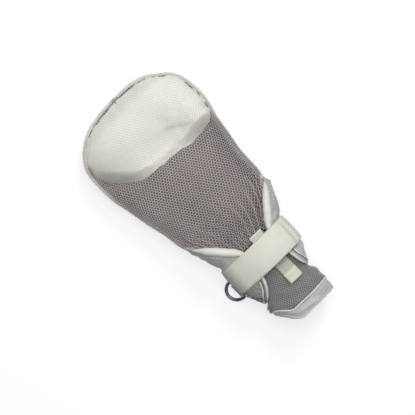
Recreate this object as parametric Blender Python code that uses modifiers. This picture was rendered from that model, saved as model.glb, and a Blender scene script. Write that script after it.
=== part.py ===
"""A padded hand mitt with a see-through net back, a net cuff and a wrist strap, at its real size.

It lies palm down: +Y runs from the wrist to the fingers, +Z out of the back of the hand, and the origin is
under the middle of its box. Every stretch of the body is a rounded tube whose width, height and middle are
read from the short tables below, and each layer is that tube, inset by its depth under the surface.
"""

import math

import bmesh
import bpy
import numpy as np
from mathutils import Matrix, Vector

# Driving dimensions, in metres.
TIP_Y = 0.145  # finger end
CUFF_END_Y = -0.145
BULB_Y = 0.092  # where the finger end starts to round off
BULB_HALF_WIDTH = 0.0705
BULB_POWER = 2.5
BODY_POWER = 2.3  # how square the tube's section is; 2 is an ellipse
FLAT_CUT = 0.002  # how much of the round underside is cut off flat

# (y, value) tables, from the wrist to the fingers.
HALF_WIDTH = (
    (-0.111, 0.0322), (-0.100, 0.0360), (-0.090, 0.0396), (-0.054, 0.0400), (-0.044, 0.0445),
    (-0.028, 0.0514), (-0.010, 0.0552), (0.012, 0.0575), (0.052, 0.0645), (BULB_Y, BULB_HALF_WIDTH),
)
MIDDLE_X = (
    (-0.111, -0.0003), (-0.090, 0.0006), (-0.054, 0.0008), (-0.030, 0.0042), (0.000, 0.0024), (0.035, 0.0),
    (0.065, -0.0008), (0.085, 0.0), (0.105, 0.0), (TIP_Y, 0.0015),
)
WIDEST_Z = ((-0.111, 0.031), (-0.050, 0.031), (-0.014, 0.0270), (0.050, 0.0265), (TIP_Y, 0.0235))
TOP_Z = (
    (-0.111, 0.0540), (-0.090, 0.0580), (-0.054, 0.0580), (-0.035, 0.0615), (-0.012, 0.0612),
    (0.020, 0.0590), (0.050, 0.0535), (0.080, 0.0475), (0.100, 0.0440), (0.125, 0.0385), (TIP_Y, 0.0275),
)
UNDERSIDE_Z = (
    (-0.111, 0.0055), (-0.100, 0.0040), (-0.052, 0.0040), (-0.038, 0.0), (0.104, 0.0), (0.125, 0.0035),
    (0.138, 0.0095), (TIP_Y, 0.0180),
)
TIP_DROP = ((0.100, 0.0), (0.136, 0.0015))  # the rims draw back from the binding round the finger end
RIM_Z = ((-0.111, 0.0150), (-0.054, 0.0155), (-0.030, 0.0205), (-0.0165, 0.0240), (-0.013, 0.0246))

# Places along Y that the layers of the body share, so that they stay apart between them.
BODY_YS = (
    -0.109, -0.100, -0.090, -0.056, -0.050, -0.044, -0.038, -0.030, -0.0215, -0.013, -0.004, 0.008, 0.022,
    0.037, 0.052, 0.066, 0.079, BULB_Y,
)

# Layers, as depths under the outer surface.
COVER_THICK = 0.0014
GAP = 0.0004
NET_THICK = 0.0010
NET_START_Y = -0.056
NET_DEPTH = (
    (-0.056, 0.0078), (-0.046, 0.0076), (-0.038, 0.0064), (-0.030, 0.0050), (-0.0215, 0.0036),
    (-0.013, 0.0005),
)
LINING_THICK = 0.0010
PALM_SIDE_DEPTH = ((-0.111, 0.0050), (-0.050, 0.0050), (-0.020, 0.0060), (0.070, 0.0060))
PALM_FLOOR_DEPTH = ((-0.111, 0.0050), (-0.054, 0.0050), (-0.030, 0.0150), (0.000, 0.0165), (0.070, 0.0165))

# Seam binding round the edge of the palm.
BINDING_RADIUS = 0.0020
BINDING_END_Y = -0.0125

# Wrist: tray end, flaps and the roll sewn along each flap's free edge.
PALM_START_Y = -0.109
LINED_TO_Y = 0.066
FINGER_PAD_START_Y = 0.0672
FLAP_SPAN = (-0.1100, -0.0170)
FLAP_THICK = (
    (-0.110, 0.0021), (-0.100, 0.0043), (-0.088, 0.0060), (-0.050, 0.0060), (-0.040, 0.0052),
    (-0.030, 0.0036), (-0.0215, 0.0024), (-0.017, 0.0018),
)
ROLL_SPAN = (-0.1085, -0.0215)
LEFT_EDGE_X = (
    (-0.110, -0.0295), (-0.104, -0.0245), (-0.095, -0.0180), (-0.085, -0.0145), (-0.064, -0.0140),
    (-0.0565, -0.0165), (-0.045, -0.0270), (-0.030, -0.0405), (-0.0215, -0.0475), (-0.017, -0.0500),
)
RIGHT_EDGE_X = (
    (-0.110, 0.0290), (-0.104, 0.0272), (-0.095, 0.0250), (-0.085, 0.0238), (-0.064, 0.0238),
    (-0.0565, 0.0260), (-0.045, 0.0348), (-0.030, 0.0468), (-0.0215, 0.0535), (-0.017, 0.0555),
)
ROLL_RADIUS = (
    (-0.110, 0.0016), (-0.100, 0.0022), (-0.090, 0.0026), (-0.057, 0.0026), (-0.050, 0.0034),
    (-0.034, 0.0032), (-0.0215, 0.0018),
)
ROLL_SPACE = 0.0008  # between a flap and its roll

# Cuff: its own tube, inside the flaps and then free.
CUFF_START_Y = -0.0575
HEM_START_Y = -0.1320
CUFF_HALF_WIDTH = (
    (CUFF_END_Y, 0.0305), (-0.128, 0.0310), (-0.113, 0.0290), (-0.109, 0.0285), (-0.100, 0.0300),
    (-0.090, 0.0318), (CUFF_START_Y, 0.0318),
)
CUFF_TOP_Z = (
    (CUFF_END_Y, 0.0470), (-0.128, 0.0485), (-0.113, 0.0470), (-0.090, 0.0496), (CUFF_START_Y, 0.0500),
)
CUFF_BOTTOM_Z = (
    (CUFF_END_Y, 0.0070), (-0.128, 0.0080), (-0.113, 0.0128), (-0.106, 0.0135), (-0.090, 0.0122),
    (CUFF_START_Y, 0.0122),
)
HEM_THICK = 0.0026
HEM_GAP = 0.0009
CUFF_SKEW = 0.0180  # how much shorter the cuff's left side is
CUFF_SKEW_X = (-0.0120, -0.0310)
CUFF_SKEW_Y = (-0.1125, CUFF_END_Y)

# Wrist strap, seen along Y: angles are round the tube's middle, from +X towards +Z.
STRAP_SPAN = (-0.0865, -0.0565)
STRAP_MIDDLE_Y = -0.0715
STRAP_GAP = 0.0004
BASE_THICK = 0.0024
TAIL_THICK = 0.0028
PATCH_THICK = 0.0008
HINGE_ANGLE = math.radians(176)
BASE_START_ANGLE = math.radians(182)
BASE_END_ANGLE = math.radians(78)
TAIL_END_ANGLE = math.radians(45)
LIFT_START_ANGLE = math.radians(130)  # where the tail starts to climb over the base
LIFT_END_ANGLE = math.radians(81)
PATCH_ANGLES = (math.radians(50), math.radians(74))
HEM_ANGLES = (math.radians(38.4), math.radians(44.4))

# Locator tab on the back of the wrist, under the strap.
TAB_X = (0.0025, 0.0175)
TAB_SPAN = (-0.1120, -0.0510)
TAB_THICK = 0.0012
TAB_GAP = 0.0009

# D-ring for a tether, its webbing and their place on the strap's left side.
RING_WIRE_RADIUS = 0.0018
RING_WIDTH = 0.0214  # between wire centres, along Y
RING_HEIGHT = 0.0152  # bar centre to arc centre
RING_CORNER = 0.0030
RING_MIDDLE_Y = -0.0815
RING_ANGLE = math.radians(212)  # where the bar is on the strap
RING_HANG = math.radians(62)  # outward from straight down
WEBBING_WIDTH = 0.0150
WEBBING_THICK = 0.0009
WEBBING_ANGLES = (math.radians(193), math.radians(205))
WEBBING_ROOM = 0.0008  # between the webbing and the ring's bar

# Dense bars of stitching, and the tape over the cuff's seam.
BARTACK_SIZE = (0.0025, 0.0240, 0.0008)
BARTACK_ANGLES = (math.radians(236), math.radians(304))
SEAM_TAPE_SPAN = (-0.1315, -0.1125)
SEAM_TAPE_GAP = 0.0004
SEAM_TAPE_THICK = 0.0008

WHITE_COTTON = ((0.80, 0.80, 0.74), 0.90, 0.0)
WHITE_WEBBING = ((0.76, 0.76, 0.68), 0.75, 0.0)
FOAM = ((0.85, 0.83, 0.72), 0.95, 0.0)
GREY_LINING = ((0.10, 0.09, 0.09), 0.90, 0.0)
NET_THREAD = ((0.42, 0.40, 0.39), 0.70, 0.0)
HEM_TAPE = ((0.45, 0.46, 0.44), 0.85, 0.0)
HOOK_TAPE = ((0.70, 0.70, 0.64), 0.60, 0.0)
STEEL = ((0.35, 0.36, 0.38), 0.30, 1.0)
THREAD = ((0.70, 0.70, 0.63), 0.80, 0.0)


def along(table, y):
    """The table's value at y, on a smooth curve that never overshoots its neighbours."""
    ys, values = np.array(table).T
    if ys[0] > ys[-1]:
        ys, values = ys[::-1], values[::-1]
    slopes = np.diff(values) / np.diff(ys)
    tangents = np.zeros(len(ys))
    for i in range(1, len(ys) - 1):
        if slopes[i - 1] * slopes[i] > 0:
            tangents[i] = 2 * slopes[i - 1] * slopes[i] / (slopes[i - 1] + slopes[i])
    y = float(np.clip(y, ys[0], ys[-1]))
    i = int(np.clip(np.searchsorted(ys, y) - 1, 0, len(ys) - 2))
    span = ys[i + 1] - ys[i]
    t = (y - ys[i]) / span
    keep, move = (1 + 2 * t) * (1 - t) ** 2, t * (1 - t) ** 2
    other, other_move = t * t * (3 - 2 * t), t * t * (t - 1)
    return float(
        keep * values[i] + other * values[i + 1] + span * (move * tangents[i] + other_move * tangents[i + 1])
    )


def half_width(y, depth=0.0):
    """Half the tube's width at y, for a layer at this depth: rounded off past BULB_Y."""
    if y <= BULB_Y:
        return along(HALF_WIDTH, y) - depth
    reach = min(1.0, (y - BULB_Y) / (TIP_Y - BULB_Y - depth))
    return (BULB_HALF_WIDTH - depth) * (1 - reach**BULB_POWER) ** (1 / BULB_POWER)


def rounded(angle, power):
    """(across, up) on a superellipse of radius 1."""
    c, s = math.cos(angle), math.sin(angle)
    return math.copysign(abs(c) ** (2 / power), c), math.copysign(abs(s) ** (2 / power), s)


def tube_point(y, angle, depth=0.0):
    """A point of the body's tube at y, this deep under its surface."""
    across, up = rounded(angle, BODY_POWER)
    middle, bottom = along(WIDEST_Z, y), along(UNDERSIDE_Z, y)
    height = along(TOP_Z, y) - middle if up > 0 else middle - bottom + FLAT_CUT
    x = along(MIDDLE_X, y) + max(half_width(y, depth), 0.0) * across
    z = middle + max(height - depth, 0.0) * up
    return Vector((x, y, max(z, min(bottom + depth, middle))))


def angle_at_z(y, z):
    """The angle, from -90 to 90 degrees, at which the tube's surface is this high."""
    middle = along(WIDEST_Z, y)
    height = along(TOP_Z, y) - middle if z > middle else middle - along(UNDERSIDE_Z, y) + FLAT_CUT
    share = min(abs(z - middle) / height, 1.0) ** (BODY_POWER / 2)
    return math.copysign(math.asin(share), z - middle)


def angle_at_x(y, x, depth=0.0):
    """The angle on the tube's upper half at which this layer's surface is at x."""
    share = (x - along(MIDDLE_X, y)) / max(half_width(y, depth), 1e-6)
    share = max(-1.0, min(1.0, share))
    return math.acos(math.copysign(abs(share) ** (BODY_POWER / 2), share))


def steps(start, end, count):
    return [start + (end - start) * i / (count - 1) for i in range(count)]


def body_stations(start, end):
    """Places along Y from start to end, on the straight part of the body."""
    return [start] + [y for y in BODY_YS if start + 0.001 < y < end - 0.001] + [end]


def bulb_stations(depth, count=9):
    """Places round the finger end, past BULB_Y and closer together towards the tip."""
    reach = TIP_Y - depth - BULB_Y
    return [BULB_Y + reach * math.sin(math.pi / 2 * i / count) for i in range(1, count)]


def collection(name):
    made = bpy.data.collections.new(name)
    bpy.context.scene.collection.children.link(made)
    return made


def material(name, look):
    colour, roughness, metallic = look
    made = bpy.data.materials.new(name)
    made.use_nodes = True
    shader = made.node_tree.nodes["Principled BSDF"]
    shader.inputs["Base Color"].default_value = (*colour, 1)
    shader.inputs["Roughness"].default_value = roughness
    shader.inputs["Metallic"].default_value = metallic
    return made


def add(name, data, look):
    """Links the mesh or curve as a named object of the mitt, with its own material."""
    data.materials.append(material(name, look))
    made = bpy.data.objects.new(name, data)
    MITT.objects.link(made)
    return made


def surface(name, sections, look, closed=False, caps=(False, False), tip=None):
    """A mesh through sections of equal length. closed joins each section's ends, caps fills the first and
    last section, and tip is a point that the last section closes on."""
    shape = bmesh.new()
    rows = [[shape.verts.new(point) for point in section] for section in sections]
    count = len(rows[0])
    across = count if closed else count - 1
    for row, following in zip(rows, rows[1:]):
        for i in range(across):
            j = (i + 1) % count
            shape.faces.new((row[i], row[j], following[j], following[i]))
    if tip is not None:
        end = shape.verts.new(tip)
        for i in range(across):
            shape.faces.new((rows[-1][i], rows[-1][(i + 1) % count], end))
    if caps[0]:
        shape.faces.new(rows[0][::-1])
    if caps[1]:
        shape.faces.new(rows[-1])
    bmesh.ops.recalc_face_normals(shape, faces=shape.faces)
    mesh = bpy.data.meshes.new(name)
    shape.to_mesh(mesh)
    shape.free()
    mesh.shade_smooth()
    return add(name, mesh, look)


def face_up(made):
    """Turns an open surface's faces over if they point down on average."""
    if sum(face.normal.z * face.area for face in made.data.polygons) < 0:
        made.data.flip_normals()


def shell(made, thickness, side, even=True):
    """Gives an open surface its thickness: side 1 adds it where the faces point, -1 behind them."""
    solid = made.modifiers.new("Thickness", "SOLIDIFY")
    solid.thickness = thickness
    solid.offset = side
    solid.use_even_offset = even
    return made


def pivot(made, point):
    """Moves the object's origin to a point without moving the object."""
    made.data.transform(Matrix.Translation(-point))
    made.location = point


def tube(name, points, radius, look, radii=None, cyclic=False):
    """A round cord through the points. radii scales the radius at each point."""
    curve = bpy.data.curves.new(name, "CURVE")
    curve.dimensions = "3D"
    curve.bevel_depth = radius
    curve.bevel_resolution = 2
    curve.use_fill_caps = not cyclic
    spline = curve.splines.new("POLY")
    spline.points.add(len(points) - 1)
    spline.use_cyclic_u = cyclic
    for i, point in enumerate(points):
        spline.points[i].co = (*point, 1)
        spline.points[i].radius = radii[i] / radius if radii else 1.0
    return add(name, curve, look)


def rim_angle(y):
    """The angle of the palm tray's rim: under the seam binding, and lower beside the wrist."""
    under_binding = along(WIDEST_Z, y) - BINDING_RADIUS - GAP - along(TIP_DROP, y)
    return angle_at_z(y, min(along(RIM_Z, y), under_binding))


def tray_section(y, depth_at, low=0.0, count=19):
    """Points of a layer of the palm from rim to rim, under the hand. low keeps it below the rim."""
    rim = angle_at_z(y, tube_point(y, rim_angle(y)).z - low)
    points = []
    for angle in steps(math.pi - rim, 2 * math.pi + rim, count):
        depth = depth_at(y, abs(math.sin(angle)))
        points.append(tube_point(y, angle, min(depth, 0.75 * half_width(y))))
    return points


def palm_depth(extra=0.0):
    """The depth of the palm foam's top: thick under the palm, thinner up the sides."""

    def depth(y, lowness):
        side, floor = along(PALM_SIDE_DEPTH, y), along(PALM_FLOOR_DEPTH, y)
        return side + (floor - side) * lowness**2 + extra

    return depth


def make_palm_cover():
    places = body_stations(PALM_START_Y, BULB_Y) + bulb_stations(0.0)
    sections = [tray_section(y, lambda y, s: 0.0) for y in places]
    tip = tube_point(TIP_Y, 0.0)
    tip.z = along(WIDEST_Z, TIP_Y) - BINDING_RADIUS - GAP - along(TIP_DROP, TIP_Y)
    made = surface("palm_cover", sections, WHITE_COTTON, tip=tip)
    face_up(made)
    shell(made, COVER_THICK, 1, even=False)


def make_palm_foam():
    under, above = COVER_THICK + 2 * GAP, palm_depth()
    rings = []
    for y in body_stations(PALM_START_Y + 0.0015, LINED_TO_Y):
        bottom = tray_section(y, lambda y, s: under, low=0.0012)
        top = tray_section(y, above, low=0.0018)
        rings.append(bottom + top[::-1])
    surface("palm_foam", rings, FOAM, closed=True, caps=(True, True))


def make_palm_lining():
    sections = [
        tray_section(y, palm_depth(GAP), low=0.0022)
        for y in body_stations(PALM_START_Y + 0.0015, LINED_TO_Y)
    ]
    made = surface("palm_lining", sections, GREY_LINING)
    face_up(made)
    shell(made, LINING_THICK, 1)


def net_height(x, y, depth):
    """How high this layer of the net side is at a place in plan."""
    return tube_point(y, angle_at_x(y, x, depth), depth).z


def make_finger_end_pad():
    """A scooped cushion inside the finger end: a low floor that climbs to the net at the outline."""
    depth = 2 * BINDING_RADIUS + 2 * GAP
    floor_z = along(UNDERSIDE_Z, LINED_TO_Y) + 0.0180
    rings = []
    for y in [FINGER_PAD_START_Y, 0.073, 0.079, 0.085, BULB_Y] + bulb_stations(depth, 8):
        bottom = tray_section(y, lambda y, s: depth)
        top = []
        for point in bottom:
            ceiling = net_height(point.x, y, NET_THICK + 0.0030)
            forward = (y - FINGER_PAD_START_Y) / (TIP_Y - FINGER_PAD_START_Y)
            sideways = abs(point.x - along(MIDDLE_X, y)) / half_width(BULB_Y)
            edge = min(max((math.hypot(forward, sideways) - 0.42) / 0.46, 0.0), 1.0)
            rise = edge * edge * (3 - 2 * edge)
            z = floor_z + (max(ceiling, floor_z) - floor_z) * rise
            top.append(Vector((point.x, y, max(z, point.z + 0.0006))))
        rings.append(bottom + top[::-1])
    tip = Vector((along(MIDDLE_X, TIP_Y), TIP_Y - depth, along(WIDEST_Z, TIP_Y)))
    surface("finger_end_pad", rings, WHITE_COTTON, closed=True, caps=(True, False), tip=tip)


def make_net_back():
    sections = []
    for y in body_stations(NET_START_Y, BULB_Y) + bulb_stations(0.0):
        depth = along(NET_DEPTH, y)
        start = angle_at_z(y, along(WIDEST_Z, y) + BINDING_RADIUS + 2 * GAP + along(TIP_DROP, y) / 2)
        sections.append([tube_point(y, math.pi - a, depth) for a in steps(start, math.pi - start, 21)])
    tip = Vector((along(MIDDLE_X, TIP_Y), TIP_Y, along(TOP_Z, TIP_Y)))
    made = surface("net_back", sections, NET_THREAD, tip=tip)
    face_up(made)
    shell(made, NET_THICK, -1, even=False)


def make_edge_binding():
    """The tape round the palm's edge, from one flap, past the fingers, to the other."""
    inset = BINDING_RADIUS
    reach = TIP_Y - inset
    ys = steps(BINDING_END_Y, BULB_Y, 9)[:-1] + [
        BULB_Y + (reach - BULB_Y) * math.sin(math.pi / 2 * i / 14) for i in range(14)
    ]
    right = [Vector((along(MIDDLE_X, y) + half_width(y, inset), y, along(WIDEST_Z, y))) for y in ys]
    left = [Vector((along(MIDDLE_X, y) - half_width(y, inset), y, along(WIDEST_Z, y))) for y in ys]
    tip = Vector((along(MIDDLE_X, TIP_Y), reach, along(WIDEST_Z, TIP_Y)))
    tube("edge_binding", right + [tip] + left[::-1], BINDING_RADIUS, WHITE_COTTON)


def roll_room(table, y):
    """How far in x a flap stops short of its roll's centre line, which may slant."""
    slope = (along(table, y + 0.001) - along(table, y - 0.001)) / 0.002
    return (along(ROLL_RADIUS, y) + ROLL_SPACE) * math.hypot(1.0, slope)


def make_flap(name, table, side):
    """A padded flap that wraps one side of the wrist, from the palm tray's rim to its roll."""
    rings = []
    for y in steps(*FLAP_SPAN, 17):
        low = angle_at_z(y, along(RIM_Z, y) + 3 * GAP)
        edge_x = along(table, y) + side * roll_room(table, y)
        high = angle_at_x(y, edge_x)
        high = high if side > 0 else math.pi - high
        high = max(high, low + 0.08)
        thick = along(FLAP_THICK, y)
        angles = steps(low, high, 11)
        if side < 0:
            angles = [math.pi - a for a in angles]
        outer = [tube_point(y, a) for a in angles]
        inner = [tube_point(y, a, thick) for a in angles]
        rings.append(outer + inner[::-1])
    surface(name, rings, WHITE_COTTON, closed=True, caps=(True, True))


def make_flap_roll(name, table):
    ys = steps(*ROLL_SPAN, 27)
    points, radii = [], []
    for y in ys:
        radius = along(ROLL_RADIUS, y)
        depth = max(along(FLAP_THICK, y) - radius - 0.0002, radius)
        depth = depth if y < -0.055 else along(NET_DEPTH, y) - radius - 2 * GAP
        surface_angle = angle_at_x(y, along(table, y))
        points.append(tube_point(y, surface_angle, depth))
        radii.append(radius)
    tube(name, points, max(radii), WHITE_COTTON, radii=radii)


def ramp(ends, value):
    """0 before the first end, 1 past the second and a straight line between them."""
    return min(max((value - ends[0]) / (ends[1] - ends[0]), 0.0), 1.0)


def cuff_ring(y, depth, count=24):
    """One section of the cuff's tube, as a full ring, drawn back at its left."""
    top, bottom = along(CUFF_TOP_Z, y), along(CUFF_BOTTOM_Z, y)
    width, height = along(CUFF_HALF_WIDTH, y) - depth, (top - bottom) / 2 - depth
    ring = []
    for i in range(count):
        across, up = rounded(2 * math.pi * i / count, BODY_POWER)
        x = along(MIDDLE_X, y) + width * across
        side = ramp(CUFF_SKEW_X, x)
        back = CUFF_SKEW * side * side * (3 - 2 * side) * ramp(CUFF_SKEW_Y, y)
        ring.append(Vector((x, y + back, (top + bottom) / 2 + height * up)))
    return ring


def make_cuff_layer(name, start, end, outside, thick, look, count):
    """A sleeve of the cuff: its outer skin, inner skin and two open rims, as one wall."""
    places = steps(start, end, count)
    outer = [cuff_ring(y, outside) for y in places]
    inner = [cuff_ring(y, outside + thick) for y in reversed(places)]
    surface(name, outer + inner + outer[:1], look, closed=True)
    mesh = bpy.data.objects[name].data
    shape = bmesh.new()
    shape.from_mesh(mesh)
    bmesh.ops.remove_doubles(shape, verts=shape.verts, dist=1e-6)
    bmesh.ops.recalc_face_normals(shape, faces=shape.faces)
    shape.to_mesh(mesh)
    shape.free()


def strap_point(angle, lift):
    """A point of the strap's path, at the middle of its width, this far outside the flaps."""
    return tube_point(STRAP_MIDDLE_Y, angle, -lift)


def band(name, path, across, thick, look, side=1):
    """A strap: the path's points swept over a width along Y, and thickened outwards."""
    sections = [[Vector((p.x, y, p.z)) for y in across] for p in path]
    made = surface(name, sections, look)
    outward = 0.0
    middle = Vector((0, 0, along(WIDEST_Z, STRAP_MIDDLE_Y)))
    for face in made.data.polygons:
        away = face.center - middle
        outward += face.area * (face.normal.x * away.x + face.normal.z * away.z)
    if outward < 0:
        made.data.flip_normals()
    return shell(made, thick, side)


def tail_lift(angle):
    """The strap tail's height over the flaps: on them at the left, on the base and patches at the right."""
    low = STRAP_GAP
    high = STRAP_GAP + BASE_THICK + 2 * PATCH_THICK + 3 * 0.0003
    t = min(max((LIFT_START_ANGLE - angle) / (LIFT_START_ANGLE - LIFT_END_ANGLE), 0.0), 1.0)
    return low + (high - low) * t * t * (3 - 2 * t)


def make_strap():
    hinge = strap_point(HINGE_ANGLE, tail_lift(HINGE_ANGLE) + TAIL_THICK / 2)
    base = [strap_point(a, STRAP_GAP) for a in steps(BASE_START_ANGLE, 2 * math.pi + BASE_END_ANGLE, 36)]
    band("strap_base", base, STRAP_SPAN, BASE_THICK, WHITE_WEBBING)
    tail = [strap_point(a, tail_lift(a)) for a in steps(HINGE_ANGLE, TAIL_END_ANGLE, 30)]
    pivot(band("strap_tail", tail, STRAP_SPAN, TAIL_THICK, WHITE_WEBBING), hinge)
    inner = (STRAP_SPAN[0] + 0.003, STRAP_SPAN[1] - 0.003)
    patch = steps(*PATCH_ANGLES, 8)
    loop_lift = STRAP_GAP + BASE_THICK + 0.0003
    band("loop_patch", [strap_point(a, loop_lift) for a in patch], inner, PATCH_THICK, HOOK_TAPE)
    hook_lift = loop_lift + PATCH_THICK + 0.0003
    hook = band("hook_patch", [strap_point(a, hook_lift) for a in patch], inner, PATCH_THICK, HOOK_TAPE)
    pivot(hook, hinge)
    hem = [strap_point(a, tail_lift(a)) for a in steps(*HEM_ANGLES, 4)]
    pivot(band("strap_end_hem", hem, STRAP_SPAN, TAIL_THICK + 0.0008, WHITE_WEBBING), hinge)


def wrist_top_z(x, y):
    """The top of the net or the cuff at a place on the back of the wrist."""
    top, bottom = along(CUFF_TOP_Z, y), along(CUFF_BOTTOM_Z, y)
    share = abs(x - along(MIDDLE_X, y)) / along(CUFF_HALF_WIDTH, y)
    cuff = (top + bottom) / 2 + (top - bottom) / 2 * (1 - share**BODY_POWER) ** (1 / BODY_POWER)
    net = net_height(x, y, along(NET_DEPTH, y)) if y > -0.0585 else 0.0
    return max(cuff, net)


def make_locator_tab():
    rows = []
    for y in steps(*TAB_SPAN, 14):
        rows.append([Vector((x, y, wrist_top_z(x, y) + TAB_GAP)) for x in steps(*TAB_X, 4)])
    made = surface("locator_tab", rows, WHITE_WEBBING)
    face_up(made)
    shell(made, TAB_THICK, 1)


def make_bartack(name, centre, size, tilt=0.0):
    """A dense bar of stitching, as a small block. tilt turns it about Y."""
    shape = bmesh.new()
    bmesh.ops.create_cube(shape, size=1)
    bmesh.ops.scale(shape, verts=shape.verts, vec=size)
    mesh = bpy.data.meshes.new(name)
    shape.to_mesh(mesh)
    shape.free()
    made = add(name, mesh, THREAD)
    made.location = centre
    made.rotation_euler = (0, tilt, 0)
    edges = made.modifiers.new("Rounded", "BEVEL")
    edges.width = min(size) * 0.3
    edges.segments = 1


def ring_bar():
    """The middle of the D-ring's bar, and the strap's outward direction there."""
    lift = STRAP_GAP + BASE_THICK + GAP + WEBBING_THICK + WEBBING_ROOM + RING_WIRE_RADIUS
    bar = strap_point(RING_ANGLE, lift)
    along_strap = strap_point(RING_ANGLE + 0.02, lift) - strap_point(RING_ANGLE - 0.02, lift)
    along_strap.normalize()
    bar.y = RING_MIDDLE_Y
    return bar, along_strap, Vector((along_strap.z, 0, -along_strap.x))


def make_ring():
    """The D-ring: a straight bar along Y, two short corners and an arc, in the plane in which it hangs."""
    bar = ring_bar()[0]
    down = Vector((-math.sin(RING_HANG), 0, -math.cos(RING_HANG)))
    half, corner = RING_WIDTH / 2, RING_CORNER
    right = []
    for turn in steps(0, math.pi / 2, 4):
        right.append((half - corner + corner * math.sin(turn), corner * (1 - math.cos(turn))))
    for turn in steps(0, math.pi / 2, 7)[1:]:
        right.append((half * math.cos(turn), corner + (RING_HEIGHT - corner) * math.sin(turn)))
    left = [(-across, away) for across, away in right[-2::-1]]
    points = [bar + Vector((0, across, 0)) + down * away for across, away in right + left]
    pivot(tube("d_ring", points, RING_WIRE_RADIUS, STEEL, cyclic=True), bar)


def make_ring_webbing():
    """A strip folded round the ring's bar, its two ends sewn to the strap above."""
    bar, ahead, outward = ring_bar()
    lift = STRAP_GAP + BASE_THICK + GAP + WEBBING_THICK
    radius = RING_WIRE_RADIUS + WEBBING_ROOM
    if outward.dot(bar - Vector((0, bar.y, along(WIDEST_Z, bar.y)))) < 0:
        outward = -outward
    inner = [strap_point(a, lift) for a in steps(*WEBBING_ANGLES, 4)]
    outer = [strap_point(a, lift + GAP) for a in steps(*WEBBING_ANGLES, 4)]
    around = [
        bar - outward * (radius * math.cos(turn)) + ahead * (radius * math.sin(turn))
        for turn in steps(0, math.pi + 0.5, 12)
    ]
    half = WEBBING_WIDTH / 2
    path = inner + around + outer[::-1]
    sections = [[Vector((p.x, RING_MIDDLE_Y + y, p.z)) for y in (-half, half)] for p in path]
    made = surface("ring_webbing", sections, WHITE_WEBBING)
    turned = sum(face.area * face.normal.dot(face.center - bar) for face in made.data.polygons)
    if turned < 0:
        made.data.flip_normals()
    shell(made, WEBBING_THICK, 1)


def make_cuff_seam_tape():
    """A tape down the cuff's left side, over its seam."""
    rows = []
    for y in steps(*SEAM_TAPE_SPAN, 5):
        ring = cuff_ring(y, -SEAM_TAPE_GAP, 48)
        rows.append(ring[22:27])
    made = surface("cuff_seam_tape", rows, HEM_TAPE)
    if sum(face.normal.x * face.area for face in made.data.polygons) > 0:
        made.data.flip_normals()
    shell(made, SEAM_TAPE_THICK, 1)


def make_bartacks():
    """The sewn bars that hold the strap to the palm side."""
    lift = STRAP_GAP + BASE_THICK + GAP + BARTACK_SIZE[2] / 2
    for name, angle in (("bartack_left", BARTACK_ANGLES[0]), ("bartack_right", BARTACK_ANGLES[1])):
        centre, ahead = strap_point(angle, lift), strap_point(angle + 0.02, lift)
        make_bartack(name, centre, BARTACK_SIZE, math.atan2(centre.z - ahead.z, ahead.x - centre.x))


bpy.ops.object.select_all(action="DESELECT")
for old in list(bpy.data.objects):
    bpy.data.objects.remove(old)
MITT = collection("padded_net_mitt")

make_palm_cover()
make_palm_foam()
make_palm_lining()
make_finger_end_pad()
make_net_back()
make_edge_binding()
make_flap("flap_left", LEFT_EDGE_X, -1)
make_flap("flap_right", RIGHT_EDGE_X, 1)
make_flap_roll("flap_roll_left", LEFT_EDGE_X)
make_flap_roll("flap_roll_right", RIGHT_EDGE_X)
make_cuff_layer("cuff_net", CUFF_START_Y, HEM_START_Y + HEM_GAP, 0.0, 0.0010, NET_THREAD, 9)
make_cuff_layer("cuff_lining", CUFF_START_Y, HEM_START_Y + HEM_GAP, 0.0014, 0.0010, GREY_LINING, 9)
make_cuff_layer("cuff_hem", HEM_START_Y, CUFF_END_Y, -0.0002, HEM_THICK, HEM_TAPE, 4)
make_strap()
make_locator_tab()
make_ring()
make_ring_webbing()
make_cuff_seam_tape()
make_bartacks()
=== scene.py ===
"""The looks of the padded net-back mitt: white palm, see-through net back, wrist flaps, strap and cuff."""

import math

import bmesh
import bpy
import numpy as np
from mathutils import Matrix, Vector, noise
from mathutils.bvhtree import BVHTree


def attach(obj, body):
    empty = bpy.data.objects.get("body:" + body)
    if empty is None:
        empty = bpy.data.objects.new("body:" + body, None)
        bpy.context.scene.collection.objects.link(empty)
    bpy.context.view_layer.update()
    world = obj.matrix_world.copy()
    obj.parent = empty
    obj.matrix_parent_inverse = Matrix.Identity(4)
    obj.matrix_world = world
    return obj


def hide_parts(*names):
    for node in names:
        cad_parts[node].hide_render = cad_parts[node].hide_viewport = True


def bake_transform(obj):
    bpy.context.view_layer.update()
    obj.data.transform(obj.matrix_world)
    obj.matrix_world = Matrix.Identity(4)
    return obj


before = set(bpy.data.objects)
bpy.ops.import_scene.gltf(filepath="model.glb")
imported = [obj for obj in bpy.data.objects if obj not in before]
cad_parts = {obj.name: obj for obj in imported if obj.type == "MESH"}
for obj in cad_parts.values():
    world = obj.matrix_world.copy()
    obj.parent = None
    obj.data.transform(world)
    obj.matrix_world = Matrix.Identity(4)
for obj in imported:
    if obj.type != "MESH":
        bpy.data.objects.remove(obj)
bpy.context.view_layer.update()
PARTS = bpy.data.collections.new("mitt_looks")
bpy.context.scene.collection.children.link(PARTS)

# ---------------------------------------------------------------- the body's shape, in metres

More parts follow.
